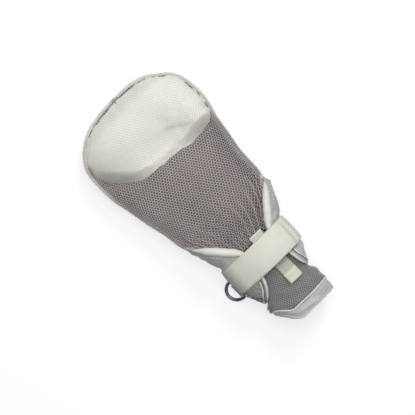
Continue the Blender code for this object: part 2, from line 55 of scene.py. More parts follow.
TIP_Y = 0.145
BULB_Y = 0.092
BULB_HALF_WIDTH = 0.0705
BULB_POWER = 2.55
BODY_POWER = 2.3
FLAT_CUT = 0.002
HALF_WIDTH = (
    (-0.111, 0.0312), (-0.100, 0.0350), (-0.090, 0.0396), (-0.054, 0.0400), (-0.044, 0.0447),
    (-0.028, 0.0518), (-0.010, 0.0557), (0.012, 0.0575), (0.052, 0.0645), (BULB_Y, BULB_HALF_WIDTH),
)
MIDDLE_X = (
    (-0.111, -0.0003), (-0.090, 0.0006), (-0.058, 0.0008), (-0.050, 0.0020), (-0.030, 0.0040),
    (0.000, 0.0020), (0.035, -0.0004), (0.065, -0.0008), (0.085, 0.0), (0.105, 0.0), (TIP_Y, 0.0015),
)
WIDEST_Z = ((-0.111, 0.031), (-0.050, 0.031), (-0.014, 0.0270), (0.050, 0.0265), (TIP_Y, 0.0235))
TOP_Z = (
    (-0.111, 0.0540), (-0.090, 0.0580), (-0.054, 0.0580), (-0.035, 0.0615), (-0.012, 0.0612),
    (0.020, 0.0590), (0.050, 0.0535), (0.080, 0.0475), (0.100, 0.0440), (0.125, 0.0385), (TIP_Y, 0.0275),
)
UNDERSIDE_Z = (
    (-0.111, 0.0055), (-0.100, 0.0040), (-0.052, 0.0040), (-0.038, 0.0), (0.104, 0.0), (0.125, 0.0035),
    (0.138, 0.0095), (TIP_Y, 0.0180),
)
RIM_Z = ((-0.111, 0.0150), (-0.054, 0.0155), (-0.030, 0.0205), (-0.0165, 0.0240), (-0.013, 0.0246))
BINDING_RADIUS = 0.0020
CORD_RADIUS = 0.0013
GAP = 0.0004
WRIST_MIDDLE_Z = 0.031
LEFTWARD, AHEAD, UPWARD = Vector((-1, 0, 0)), Vector((0, 1, 0)), Vector((0, 0, 1))


def along(table, y):
    """The table's value at y, on a smooth curve that never overshoots its neighbours."""
    ys, values = np.array(table).T
    slopes = np.diff(values) / np.diff(ys)
    tangents = np.zeros(len(ys))
    for i in range(1, len(ys) - 1):
        if slopes[i - 1] * slopes[i] > 0:
            tangents[i] = 2 * slopes[i - 1] * slopes[i] / (slopes[i - 1] + slopes[i])
    y = float(np.clip(y, ys[0], ys[-1]))
    i = int(np.clip(np.searchsorted(ys, y) - 1, 0, len(ys) - 2))
    span = ys[i + 1] - ys[i]
    t = (y - ys[i]) / span
    a, b = (1 + 2 * t) * (1 - t) ** 2, t * (1 - t) ** 2
    c, d = t * t * (3 - 2 * t), t * t * (t - 1)
    return float(a * values[i] + c * values[i + 1] + span * (b * tangents[i] + d * tangents[i + 1]))


def half_width(y, depth=0.0):
    if y <= BULB_Y:
        return along(HALF_WIDTH, y) - depth
    reach = min(1.0, (y - BULB_Y) / (TIP_Y - BULB_Y - depth))
    return (BULB_HALF_WIDTH - depth) * (1 - reach**BULB_POWER) ** (1 / BULB_POWER)


def rounded(angle, power=BODY_POWER):
    c, s = math.cos(angle), math.sin(angle)
    return math.copysign(abs(c) ** (2 / power), c), math.copysign(abs(s) ** (2 / power), s)


def tube_point(y, angle, depth=0.0):
    """A point of the body's tube at y, this deep under its surface."""
    across, up = rounded(angle)
    middle, bottom = along(WIDEST_Z, y), along(UNDERSIDE_Z, y)
    height = along(TOP_Z, y) - middle if up > 0 else middle - bottom + FLAT_CUT
    x = along(MIDDLE_X, y) + max(half_width(y, depth), 0.0) * across
    z = middle + max(height - depth, 0.0) * up
    return Vector((x, y, max(z, min(bottom + depth, middle))))


def angle_at_z(y, z):
    middle = along(WIDEST_Z, y)
    height = along(TOP_Z, y) - middle if z > middle else middle - along(UNDERSIDE_Z, y) + FLAT_CUT
    share = min(abs(z - middle) / height, 1.0) ** (BODY_POWER / 2)
    return math.copysign(math.asin(share), z - middle)


def angle_at_x(y, x, depth=0.0):
    share = (x - along(MIDDLE_X, y)) / max(half_width(y, depth), 1e-6)
    share = max(-1.0, min(1.0, share))
    return math.acos(math.copysign(abs(share) ** (BODY_POWER / 2), share))


def rim_z(y):
    return min(along(RIM_Z, y), along(WIDEST_Z, y) - BINDING_RADIUS - GAP)


def steps(start, end, count):
    return [start + (end - start) * i / (count - 1) for i in range(count)]


def smooth(low, high, value):
    t = min(max((value - low) / (high - low), 0.0), 1.0)
    return t * t * (3 - 2 * t)


def wobble(point, size, seed=0.0):
    """Smooth noise from -1 to 1, with bumps about this large."""
    return noise.noise(Vector(point) / size + Vector((seed, seed * 1.7, -seed)))


# ---------------------------------------------------------------- materials


WAVE_PER_MM = 3.18  # bands that a wave texture of scale 1 makes in each mm


def times(share, colour):
    return tuple(share * v for v in colour)


class Nodes:
    """Shorthand for building one material's node tree."""

    def __init__(self, name):
        self.material = bpy.data.materials.new(name)
        self.material.use_nodes = True
        self.tree = self.material.node_tree
        self.shader = self.tree.nodes["Principled BSDF"]

    def add(self, kind, inputs=None, **settings):
        made = self.tree.nodes.new(kind)
        for key, value in settings.items():
            setattr(made, key, value)
        for key, value in (inputs or {}).items():
            self.feed(made.inputs[key], value)
        return made

    def feed(self, socket, value):
        if isinstance(value, bpy.types.NodeSocket):
            self.tree.links.new(value, socket)
        else:
            socket.default_value = value

    def math(self, operation, a, b=0.0):
        made = self.add("ShaderNodeMath", operation=operation)
        self.feed(made.inputs[0], a)
        self.feed(made.inputs[1], b)
        return made.outputs[0]

    def millimetres(self, kind):
        place = self.add("ShaderNodeTexCoord").outputs[kind]
        return self.add("ShaderNodeMapping", {"Vector": place, "Scale": (1000.0, 1000.0, 1000.0)}).outputs[0]

    def uv(self):
        """The piece's own flat coordinates, in millimetres."""
        return self.millimetres("UV")

    def place(self):
        """The place in the object, in millimetres."""
        return self.millimetres("Object")

    def axes(self):
        """The place in the object, as X, Y and Z."""
        return self.add("ShaderNodeSeparateXYZ", {"Vector": self.place()}).outputs

    def noise(self, where, scale, detail=3.0, roughness=0.5):
        made = self.add(
            "ShaderNodeTexNoise", {"Vector": where, "Scale": scale, "Detail": detail, "Roughness": roughness}
        )
        return made.outputs["Fac"]

    def wave(self, where, direction, scale, distortion):
        made = self.add(
            "ShaderNodeTexWave",
            {"Vector": where, "Scale": scale, "Distortion": distortion, "Detail": 1.0, "Detail Scale": 1.0},
            wave_type="BANDS", bands_direction=direction, wave_profile="SIN",
        )
        return made.outputs["Fac"]

    def weave(self, pitch):
        """Threads of this pitch in mm, both ways."""
        where, scale = self.uv(), 1.0 / pitch / WAVE_PER_MM
        return self.math("MULTIPLY", self.wave(where, "X", scale, 0.6), self.wave(where, "Y", scale, 0.6))

    def blotched(self, pattern, soft, share):
        """A pattern, at this share, with soft blotches."""
        blotches = self.math("MULTIPLY", self.ramp(soft, 0.3, 0.7), 1 - share)
        return self.math("ADD", self.math("MULTIPLY", pattern, share), blotches)

    def mix(self, amount, first, second):
        made = self.add("ShaderNodeMix", data_type="RGBA")
        self.feed(made.inputs["Factor"], amount)
        self.feed(made.inputs[6], first if isinstance(first, bpy.types.NodeSocket) else (*first, 1))
        self.feed(made.inputs[7], second if isinstance(second, bpy.types.NodeSocket) else (*second, 1))
        return made.outputs[2]

    def ramp(self, value, low, high):
        made = self.add("ShaderNodeMapRange", {"Value": value, "From Min": low, "From Max": high})
        return made.outputs[0]

    def bump(self, height, distance, strength=1.0, under=None):
        made = self.add("ShaderNodeBump", {"Height": height, "Distance": distance, "Strength": strength})
        if under is not None:
            self.feed(made.inputs["Normal"], under)
        return made.outputs[0]

    def finish(self, colour, roughness, normal=None, sheen=0.25):
        self.feed(self.shader.inputs["Base Color"], colour)
        self.feed(self.shader.inputs["Roughness"], roughness)
        if normal is not None:
            self.feed(self.shader.inputs["Normal"], normal)
        self.shader.inputs["Sheen Weight"].default_value = sheen
        self.shader.inputs["Sheen Roughness"].default_value = 0.5
        self.shader.inputs["Specular IOR Level"].default_value = 0.25
        return self.material


def weave_cloth(name, light, dark, pitch=0.55, depth=0.00010, sheen=0.25, blotch=22.0, shaded_side=None):
    """A plain woven cloth: threads of this pitch in mm both ways, faint blotches and fine fuzz. shaded_side
    = (X where the painted shade is deepest, X and Y where it ends), in mm: painted shade that greys one
    side."""
    n = Nodes(name)
    threads = n.weave(pitch)
    fuzz = n.noise(n.place(), 1.6, 4.0, 0.7)
    colour = n.mix(n.blotched(threads, n.noise(n.place(), 1.0 / blotch, 3.0), 0.45), dark, light)
    # Painted shade: greys the cloth towards low X and low Y.
    if shaded_side:
        at = n.axes()
        painted_shade = n.math("MULTIPLY", n.ramp(at["X"], shaded_side[1], shaded_side[0]), n.ramp(at["Y"], shaded_side[2], 95.0))
        colour = n.mix(painted_shade, colour, times(0.50, light))
    normal = n.bump(fuzz, depth * 1.2, 0.7)
    normal = n.bump(threads, depth, 0.8, normal)
    return n.finish(colour, n.ramp(fuzz, -0.6, 1.4), normal, sheen)


def webbing_cloth(name, light, dark, rib=1.9, depth=0.00022, shaded_end=None, bands=None):
    """Ribbed webbing: fine ribs across the strap and a twill along it. shaded_end = (X where it is full, X
    where it starts), in mm, paints shade that greys one side; bands = (low, high, share) paints a shadow
    between two places along Y."""
    n = Nodes(name)
    where = n.uv()
    ribs = n.wave(where, "Y", 1.0 / rib, 0.3)
    cords = n.wave(where, "X", 1.1, 0.2)
    twill = n.wave(where, "DIAGONAL", 0.76, 0.4)
    fuzz = n.noise(n.place(), 2.0, 3.0, 0.6)
    body = n.math("ADD", n.math("MULTIPLY", cords, 0.6), n.math("MULTIPLY", twill, 0.4))
    body = n.math("MULTIPLY", body, n.ramp(ribs, -0.8, 1.0))
    colour = n.mix(n.blotched(body, n.noise(n.place(), 0.05, 3.0), 0.5), dark, light)
    at = n.axes()
    # Painted shade: greys the webbing towards low X.
    if shaded_end:
        painted_shade = n.ramp(at["X"], shaded_end[1], shaded_end[0])
        colour = n.mix(painted_shade, colour, times(0.52, light))
    # Painted shadow: greys a band between two places along Y.
    if bands:
        low, high, share = bands
        inside = n.math("MULTIPLY", n.ramp(at["Y"], low, low + 1.5), n.ramp(at["Y"], high, high - 1.5))
        colour = n.mix(n.math("MULTIPLY", inside, share), colour, times(0.45, light))
    normal = n.bump(fuzz, depth * 0.4, 0.6)
    normal = n.bump(body, depth, 0.9, normal)
    return n.finish(colour, n.ramp(fuzz, -0.8, 1.5), normal, 0.2)


def graded_cloth(name, wrist, rest, low, high, pitch=0.6, depth=0.00010, mesh=0.0):
    """A plain woven cloth whose colour turns from one to another between two places along Y, in mm. mesh is
    the pitch of the knitted mesh that covers it on the wrist side, or 0 for none."""
    n = Nodes(name)
    where = n.place()
    share = n.ramp(n.axes()["Y"], low, high)
    threads = n.weave(pitch)
    fuzz = n.noise(where, 1.6, 4.0, 0.7)
    shade = n.blotched(threads, n.noise(where, 0.05, 3.0), 0.45)
    near = n.mix(shade, times(0.72, wrist), wrist)
    normal = n.bump(fuzz, depth * 1.2, 0.7)
    if mesh:
        cells = n.add(
            "ShaderNodeTexVoronoi", {"Vector": where, "Scale": 1.0 / mesh, "Randomness": 0.35},
            feature="DISTANCE_TO_EDGE",
        ).outputs["Distance"]
        holes = n.math("MULTIPLY", n.ramp(cells, 0.10, 0.26), n.math("SUBTRACT", 1.0, share))
        near = n.mix(holes, times(1.45, wrist), near)
        normal = n.bump(holes, -0.0004, 0.7, normal)
    far = n.mix(shade, times(0.84, rest), rest)
    normal = n.bump(threads, depth, 0.8, normal)
    return n.finish(n.mix(share, near, far), n.ramp(fuzz, -0.6, 1.4), normal, 0.2)


def thread_look(name, light, dark):
    """Twisted thread, for the nets and the stitches."""
    n = Nodes(name)
    fuzz = n.noise(n.place(), 2.5, 3.0, 0.6)
    soft = n.noise(n.place(), 0.03, 2.0)
    colour = n.mix(n.ramp(n.math("ADD", fuzz, soft), 0.7, 1.3), dark, light)
    return n.finish(colour, 0.75, n.bump(fuzz, 0.00006, 0.6), 0.2)


def dark_steel(name):
    """Dark plated wire, with fine drawing lines, a few scuffs and duller patches."""
    n = Nodes(name)
    where = n.place()
    drawn = n.add("ShaderNodeMapping", {"Vector": where, "Scale": (6.0, 0.5, 6.0)}).outputs[0]
    fine = n.noise(drawn, 1.0, 4.0)
    patch = n.noise(where, 0.25, 3.0)
    colour = n.mix(n.ramp(patch, 0.35, 0.7), (0.10, 0.105, 0.115), (0.30, 0.31, 0.33))
    made = n.finish(colour, n.ramp(n.math("ADD", fine, patch), 0.0, 2.6), n.bump(fine, 0.00003, 0.5), 0.0)
    n.shader.inputs["Metallic"].default_value = 1.0
    return made


COTTON = weave_cloth("white_cotton", (0.60, 0.60, 0.565), (0.51, 0.51, 0.475))
# Painted shade greys the cushion's left side, away from its tip.
PAD_COTTON = weave_cloth(
    "pad_cotton", (0.73, 0.74, 0.665), (0.655, 0.66, 0.59), pitch=0.8, blotch=30.0,
    shaded_side=(-60.0, -16.0, 126.0),
)
# The flaps are white cloth greyed by painted shade where they slope away from the light. Towards the cuff
# both carry a knit pattern, and there the left flap is darker still by painted shade.
FLAP_GRADE = (-89.0, -83.0)
LEFT_FLAP_SHADED = graded_cloth(
    "left_flap_shaded_cotton", (0.165, 0.162, 0.165), (0.36, 0.36, 0.338), *FLAP_GRADE, mesh=1.9
)
RIGHT_FLAP_SHADED = graded_cloth(
    "right_flap_shaded_cotton", (0.31, 0.31, 0.30), (0.345, 0.35, 0.32), *FLAP_GRADE, mesh=1.9
)
ROLL_COTTON = weave_cloth("roll_cotton", (0.57, 0.57, 0.53), (0.48, 0.48, 0.445), pitch=0.6)
BINDING = graded_cloth("binding_tape", (0.20, 0.195, 0.195), (0.50, 0.50, 0.47), 52.0, 84.0)
# The lining's dark grey is partly its own colour and partly painted shade of the hollow under the net.
SHADED_LINING = weave_cloth(
    "grey_lining", (0.135, 0.114, 0.109), (0.092, 0.079, 0.077), pitch=0.9, sheen=0.05, blotch=35.0
)
CUFF_LINING = weave_cloth("cuff_lining", (0.125, 0.121, 0.123), (0.085, 0.082, 0.084), pitch=0.9, sheen=0.05)
# Painted shade greys the webbing's left end, where the strap curves down.
WEBBING = webbing_cloth("white_webbing", (0.61, 0.61, 0.545), (0.52, 0.52, 0.455), shaded_end=(-42.0, -27.0))
# Painted shadow of the strap greys the tab between Y -101.5 and -84 mm.
TAB_WEBBING = webbing_cloth(
    "tab_webbing", (0.66, 0.665, 0.55), (0.52, 0.525, 0.43), rib=2.6, depth=0.0003,
    bands=(-101.5, -84.0, 0.55),
)
HOOK = weave_cloth("hook_and_loop", (0.58, 0.58, 0.53), (0.42, 0.42, 0.385), pitch=1.4, depth=0.0004)
HEM = weave_cloth("hem_tape", (0.46, 0.45, 0.44), (0.32, 0.315, 0.31), pitch=0.9, depth=0.0002)
# Dark tape, also used for a painted shadow line on the flaps.
DARK_TAPE_AND_SHADOW = weave_cloth("dark_tape_and_shadow", (0.10, 0.10, 0.11), (0.06, 0.06, 0.065), pitch=0.9, depth=0.0002)
NET = thread_look("net_thread", (0.56, 0.53, 0.51), (0.41, 0.385, 0.375))
# The cuff's net thread, also used for painted shade in the strap end's grooves.
CUFF_NET_AND_GROOVE_SHADE = thread_look("cuff_thread_and_groove_shade", (0.38, 0.37, 0.37), (0.25, 0.245, 0.245))
STITCH = thread_look("stitch_thread", (0.68, 0.68, 0.63), (0.50, 0.50, 0.46))
GREY_STITCH = thread_look("grey_stitch", (0.58, 0.58, 0.56), (0.42, 0.42, 0.41))
PIPING = thread_look("piping_cord", (0.66, 0.66, 0.63), (0.52, 0.52, 0.50))
RING = dark_steel("dark_ring_steel")

# ---------------------------------------------------------------- building meshes


def add_mesh(name, points, faces, material, uvs=None):
    mesh = bpy.data.meshes.new(name)
    mesh.from_pydata([tuple(p) for p in points], [], faces)
    if uvs is not None:
        layer = mesh.uv_layers.new(name="flat")
        corner = np.array([uv for face in uvs for uv in face], dtype=np.float32).ravel()
        layer.data.foreach_set("uv", corner)
    mesh.materials.append(material)
    mesh.shade_smooth()
    made = bpy.data.objects.new(name, mesh)
    PARTS.objects.link(made)
    return made


def loft(name, rows, material, closed=False, caps=False, tip=None):
    """A surface through rows of points, with flat coordinates measured along and across it in metres."""
    points = [p for row in rows for p in row]
    count = len(rows[0])
    middle = count // 2
    v_at = [0.0]
    for row, following in zip(rows, rows[1:]):
        v_at.append(v_at[-1] + (following[middle] - row[middle]).length)
    u_at = []
    for row in rows:
        u = [0.0]
        for i in range(count):
            u.append(u[-1] + (row[(i + 1) % count] - row[i]).length)
        centre = u[middle]
        u_at.append([value - centre for value in u])
    faces, uvs = [], []
    across = count if closed else count - 1
    for r in range(len(rows) - 1):
        for i in range(across):
            j = (i + 1) % count
            faces.append((r * count + i, r * count + j, (r + 1) * count + j, (r + 1) * count + i))
            uvs.append((
                (u_at[r][i], v_at[r]), (u_at[r][i + 1], v_at[r]),
                (u_at[r + 1][i + 1], v_at[r + 1]), (u_at[r + 1][i], v_at[r + 1]),
            ))
    if tip is not None:
        points.append(tip)
        last = (len(rows) - 1) * count
        v_tip = v_at[-1] + (tip - rows[-1][middle]).length
        for i in range(across):
            faces.append((last + i, last + (i + 1) % count, len(points) - 1))
            uvs.append(((u_at[-1][i], v_at[-1]), (u_at[-1][i + 1], v_at[-1]), (0.0, v_tip)))
    if caps:
        for base, order in ((0, -1), (len(rows) - 1, 1)):
            if tip is not None and base:
                continue
            ring = list(range(base * count, base * count + count))[::order]
            faces.append(tuple(ring))
            uvs.append(tuple((points[k][0], points[k][2]) for k in ring))
    made = add_mesh(name, points, faces, material, uvs)
    shape = bmesh.new()
    shape.from_mesh(made.data)
    bmesh.ops.recalc_face_normals(shape, faces=shape.faces)
    shape.to_mesh(made.data)
    shape.free()
    return made


def thicken(made, thickness, side=1.0):
    solid = made.modifiers.new("Thickness", "SOLIDIFY")
    solid.thickness = thickness
    solid.offset = side
    return made


def soften(made):
    detail = made.modifiers.new("Smooth", "SUBSURF")
    detail.levels = detail.render_levels = 1
    return made


def cords(name, runs, radius, material, sides=6):
    """Many short round threads in one mesh. Each run is a list of points; its ends taper."""
    points, faces = [], []
    for run in runs:
        if len(run) < 2:
            continue
        base = len(points)
        ahead = None
        for i, centre in enumerate(run):
            before, after = run[max(i - 1, 0)], run[min(i + 1, len(run) - 1)]
            direction = (after - before).normalized()
            if ahead is None:
                ahead = direction.orthogonal().normalized()
            side = (ahead - direction * ahead.dot(direction)).normalized()
            ahead = side
            other = direction.cross(side)
            thick = radius * (0.55 if i in (0, len(run) - 1) else 1.0)
            for k in range(sides):
                turn = 2 * math.pi * k / sides
                points.append(centre + (side * math.cos(turn) + other * math.sin(turn)) * thick)
        for i in range(len(run) - 1):
            for k in range(sides):
                a, b = base + i * sides + k, base + i * sides + (k + 1) % sides
                faces.append((a, b, b + sides, a + sides))
        faces.append(tuple(range(base, base + sides))[::-1])
        last = base + (len(run) - 1) * sides
        faces.append(tuple(range(last, last + sides)))
    return add_mesh(name, points, faces, material)


def keep(made, slot, *nodes, body="mitt"):
    """Hangs a finished piece on its body and hides the CAD nodes it stands for; slot is not used."""
    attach(made, body)
    if nodes:
        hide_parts(*nodes)


def turn_out(made, away):
    """Turns a surface over if, on average, its faces point against away(their middle)."""
    if sum(face.area * face.normal.dot(away(face.center)) for face in made.data.polygons) < 0:
        made.data.flip_normals()
    return made


def coordinates(mesh):
    """The mesh's points, as rows of X, Y and Z."""
    flat = np.empty(len(mesh.vertices) * 3)
    mesh.vertices.foreach_get("co", flat)
    return flat.reshape(-1, 3)


def swept(path):
    """For each point of a path: its number, the point, and the directions sideways and up across it."""
    for i, centre in enumerate(path):
        before, after = path[max(i - 1, 0)], path[min(i + 1, len(path) - 1)]
        ahead = (after - before).normalized()
        side = ahead.cross(UPWARD).normalized()
        yield i, centre, side, side.cross(ahead)


def resample(path, spacing):
    """The path's points again, evenly spaced."""
    at = [0.0]
    for a, b in zip(path, path[1:]):
        at.append(at[-1] + (b - a).length)
    count = max(2, int(at[-1] / spacing) + 1)
    made = []
    for want in steps(0, at[-1], count):
        i = int(np.clip(np.searchsorted(at, want) - 1, 0, len(path) - 2))
        t = (want - at[i]) / max(at[i + 1] - at[i], 1e-9)
        made.append(path[i].lerp(path[i + 1], t))
    return made


def stitches(path, out, length=0.0026, gap=0.0012, lift=0.0003):
    """Runs for a row of stitches along a path: each one arches out of the cloth and dips at its ends."""
    fine = resample(path, 0.0004)
    total = 0.0
    runs, run = [], []
    previous = fine[0]
    for point in fine:
        total += (point - previous).length
        previous = point
        phase = total % (length + gap)
        outward = out(point) if callable(out) else out
        if phase < length:
            arch = math.sin(math.pi * phase / length)
            run.append(point + outward * (lift * arch - 0.0001))
        elif run:
            runs.append(run[:: max(1, len(run) // 4)] + [run[-1]])
            run = []
    return runs


# ---------------------------------------------------------------- padding

POINT_JITTER = 2e-5  # parts points that coincide, which the cloth solver can't move


def inflate(made, per_row, held, cap, pressure=4.0, frames=20):
    """Swells a padded piece as a closed cloth bag. held(point, k), for the k-th point of a row of its loft,
    is 1 where a seam or a neighbour holds the cloth and 0 where it is free; no point moves further than
    cap."""
    bag = made.data
    start = coordinates(bag)
    start += np.random.default_rng(5).uniform(-POINT_JITTER, POINT_JITTER, start.shape)
    bag.vertices.foreach_set("co", start.ravel())
    group = made.vertex_groups.new(name="seam")
    for index, place in enumerate(start):
        weight = held(Vector(place), index % per_row)
        if weight > 0.01:
            group.add([index], min(weight, 1.0), "REPLACE")
    cloth = made.modifiers.new("Cloth", "CLOTH")
    settings = cloth.settings
    settings.quality = 6
    settings.mass = 0.15
    settings.tension_stiffness = settings.compression_stiffness = 10
    settings.shear_stiffness = 3
    settings.bending_stiffness = 0.08
    settings.use_pressure = True
    settings.uniform_pressure_force = pressure
    settings.shrink_min = -0.05
    settings.vertex_group_mass = "seam"
    settings.effector_weights.gravity = 0
    cloth.collision_settings.use_collision = False
    cloth.point_cache.frame_start, cloth.point_cache.frame_end = 1, frames
    for number in range(1, frames + 1):
        bpy.context.scene.frame_set(number)
    swollen = made.evaluated_get(bpy.context.evaluated_depsgraph_get()).to_mesh()
    move = coordinates(swollen) - start
    length = np.linalg.norm(move, axis=1, keepdims=True)
    move *= np.minimum(1.0, cap / np.maximum(length, 1e-9))
    made.modifiers.clear()
    bag.vertices.foreach_set("co", (start + move).ravel())
    bag.update()
    bpy.context.scene.frame_set(1)
    return soften(made)


def onto(made, points, out, lift=0.0001, reach=0.008):
    """Lays a line of points on the outside of a piece: each is dropped on it from outside."""
    tree = BVHTree.FromObject(made, bpy.context.evaluated_depsgraph_get())
    laid = []
    for point in points:
        outward = out(point) if callable(out) else out
        hit = tree.ray_cast(point + outward * reach, -outward, 2 * reach)[0]
        laid.append(point if hit is None else hit + outward * lift)
    return laid


# ---------------------------------------------------------------- the net


def net_depth(y):
    return along(NET_DEPTH, y) + 0.0006


def crown_table():
    """Places along Y and how far along the crown of the net each one is."""
    ys = steps(-0.056, TIP_Y - 0.0002, 220)
    at = [0.0]
    for a, b in zip(ys, ys[1:]):
        rise = (along(TOP_Z, b) - net_depth(b)) - (along(TOP_Z, a) - net_depth(a))
        at.append(at[-1] + math.hypot(b - a, rise))
    return np.array(ys), np.array(at)


NET_DEPTH = (
    (-0.056, 0.0078), (-0.046, 0.0076), (-0.038, 0.0064), (-0.030, 0.0050), (-0.0215, 0.0036),
    (-0.013, 0.0005),
)


def net_edge_angle(y):
    """The lowest angle of the net at y: over the seam binding, or tucked under the flaps at the wrist."""
    return angle_at_z(y, along(WIDEST_Z, y) + 0.0004)


def net_place(y, share):
    """A point of the net at y. share is -1 at the left edge, 0 on the crown and 1 at the right edge."""
    start = net_edge_angle(y)
    depth = net_depth(y)
    gather = smooth(0.006, -0.040, y)
    fold = math.cos(share * 52.0 + 1.6 * math.sin(share * 9.0) + 0.6 * math.sin(y * 90))
    depth += gather * 0.0024 * (0.6 + fold)
    depth += 0.0010 * (1 + wobble((share * 0.07, y, 0.2), 0.030, 3.0)) * smooth(-0.03, 0.02, y)
    seam = smooth(0.86, 0.99, abs(share)) * smooth(-0.020, -0.008, y)
    depth = depth * (1 - seam) - 0.0002 * seam
    angle = math.pi / 2 - share * (math.pi / 2 - start)
    return tube_point(y, angle, depth)


def net_widths(ys):
    """For each place along Y: shares and the distance from the crown that each lies at."""
    shares = np.linspace(-1, 1, 81)
    tables = []
    for y in ys:
        row = [net_place(y, s) for s in shares]
        at = np.concatenate([[0], np.cumsum([(b - a).length for a, b in zip(row, row[1:])])])
        tables.append(at - at[40])
    return shares, np.array(tables)


def strut_net(name, vertices, edges, thick, material):
    """A net of straight threads, each a four-sided open tube between two knots."""
    starts = np.array([vertices[a] for a, b in edges])
    ends = np.array([vertices[b] for a, b in edges])
    run = ends - starts
    length = np.linalg.norm(run, axis=1, keepdims=True)
    long_enough = length[:, 0] > 1e-4
    starts, ends, run, length = (values[long_enough] for values in (starts, ends, run, length))
    run = run / length
    starts, ends = starts - run * thick * 0.25, ends + run * thick * 0.25
    up = np.tile([0.0, 0.0, 1.0], (len(run), 1))
    side = np.cross(run, up)
    side /= np.maximum(np.linalg.norm(side, axis=1, keepdims=True), 1e-6)
    up = np.cross(side, run)
    sides = 4
    points = []
    for end in (starts, ends):
        for k in range(sides):
            turn = 2 * math.pi * (k + 0.5) / sides
            points.append(end + (side * math.cos(turn) + up * math.sin(turn)) * thick / 2)
    points = np.stack(points, axis=1).reshape(-1, 3)
    count = len(starts)
    base = np.arange(count)[:, None] * 2 * sides
    faces = []
    for k in range(sides):
        j = (k + 1) % sides
        faces.append(np.concatenate([base + k, base + sides + k, base + sides + j, base + j], axis=1))
    faces = np.stack(faces, axis=1).reshape(-1, 4)
    mesh = bpy.data.meshes.new(name)
    mesh.vertices.add(len(points))
    mesh.vertices.foreach_set("co", points.ravel())
    mesh.loops.add(len(faces) * 4)
    mesh.loops.foreach_set("vertex_index", faces.ravel())
    mesh.polygons.add(len(faces))
    mesh.polygons.foreach_set("loop_start", np.arange(len(faces)) * 4)
    mesh.update(calc_edges=True)
    mesh.materials.append(material)
    mesh.shade_smooth()
    made = bpy.data.objects.new(name, mesh)
    PARTS.objects.link(made)
    return made


def hex_grid(width, height, cell_w, cell_h):
    """Knots and threads of a hexagonal net over a rectangle centred on u = 0 that starts at v = 0."""
    knots, threads, index = [], [], {}

    def knot(u, v):
        key = (round(u * 2e5), round(v * 2e5))
        if key not in index:
            index[key] = len(knots)
            knots.append((u, v))
        return index[key]

    wall = cell_h * 0.36
    row_step = cell_h * 0.68
    rows = int(height / row_step) + 2
    columns = int(width / cell_w) + 2
    for r in range(rows):
        shift = (r % 2) * cell_w / 2
        v = r * row_step
        for c in range(-columns // 2 - 1, columns // 2 + 2):
            u = c * cell_w + shift
            low, high = knot(u, v), knot(u, v + wall)
            threads.append((low, high))
            up_left = knot(u - cell_w / 2, v + row_step)
            up_right = knot(u + cell_w / 2, v + row_step)
            threads.append((high, up_left))
            threads.append((high, up_right))
    return knots, threads


def make_net():
    ys, crown = crown_table()
    shares, widths = net_widths(ys)
    half_now = widths[:, -1]
    reference = float(np.interp(0.0, ys, half_now))
    squeeze = np.where(ys < 0, half_now / reference, 1.0)
    knots, threads = hex_grid(0.21, crown[-1] + 0.004, 0.0031, 0.0035)
    placed, inside = [], []
    for u, v in knots:
        u += 0.00018 * math.sin(v * 700 + u * 300)
        y = float(np.interp(v, crown, ys))
        inside.append(v <= crown[-1])
        row = int(np.argmin(np.abs(ys - y)))
        reach = u * squeeze[row]
        reach += 0.0004 * smooth(0.02, -0.03, y) * math.sin(reach * 600 + y * 160 + 2 * math.sin(reach * 90))
        if not widths[row][0] <= reach <= widths[row][-1]:
            inside[-1] = False
        placed.append((y, float(np.interp(reach, widths[row], shares))))
    used = [(a, b) for a, b in threads if inside[a] or inside[b]]
    vertices = {}
    for a, b in used:
        for k in (a, b):
            if k not in vertices:
                vertices[k] = np.array(net_place(*placed[k]))
    return strut_net("net", vertices, used, 0.00044, NET)


net = make_net()
keep(net, "net_thread", "net_back")

# ---------------------------------------------------------------- palm side


def tray_row(y, depth_at, low=0.0, count=61):
    """Points of a layer of the palm from rim to rim, under the hand."""
    rim = angle_at_z(y, rim_z(y) - low)
    row = []
    for angle in steps(math.pi - rim, 2 * math.pi + rim, count):
        depth = depth_at(y, abs(math.sin(angle)))
        row.append(tube_point(y, angle, min(depth, 0.75 * half_width(y))))
    return row


def outline_stations(start, end, step=0.003, tip=16, depth=0.0):
    """Places along Y: evenly on the straight part, then closer together round the finger end."""
    straight = steps(start, min(end, BULB_Y), max(3, int((min(end, BULB_Y) - start) / step)))
    if end <= BULB_Y:
        return straight
    reach = TIP_Y - depth - BULB_Y
    return straight + [BULB_Y + reach * math.sin(math.pi / 2 * i / tip) for i in range(1, tip)]


SIDE_DEPTH = ((-0.111, 0.0050), (-0.050, 0.0050), (-0.020, 0.0060), (0.058, 0.0060), (0.072, 0.0022))
FLOOR_DEPTH = (
    (-0.111, 0.0050), (-0.054, 0.0050), (-0.030, 0.0150), (0.000, 0.0165), (0.056, 0.0165), (0.074, 0.0022),
)


def foam_depth(y, lowness, extra=0.0):
    """How deep the foam's top lies: lowness is 0 at the rim and 1 at the middle of the palm."""
    side, floor_depth = along(SIDE_DEPTH, y), along(FLOOR_DEPTH, y)
    return side + (floor_depth - side) * lowness**2 + extra


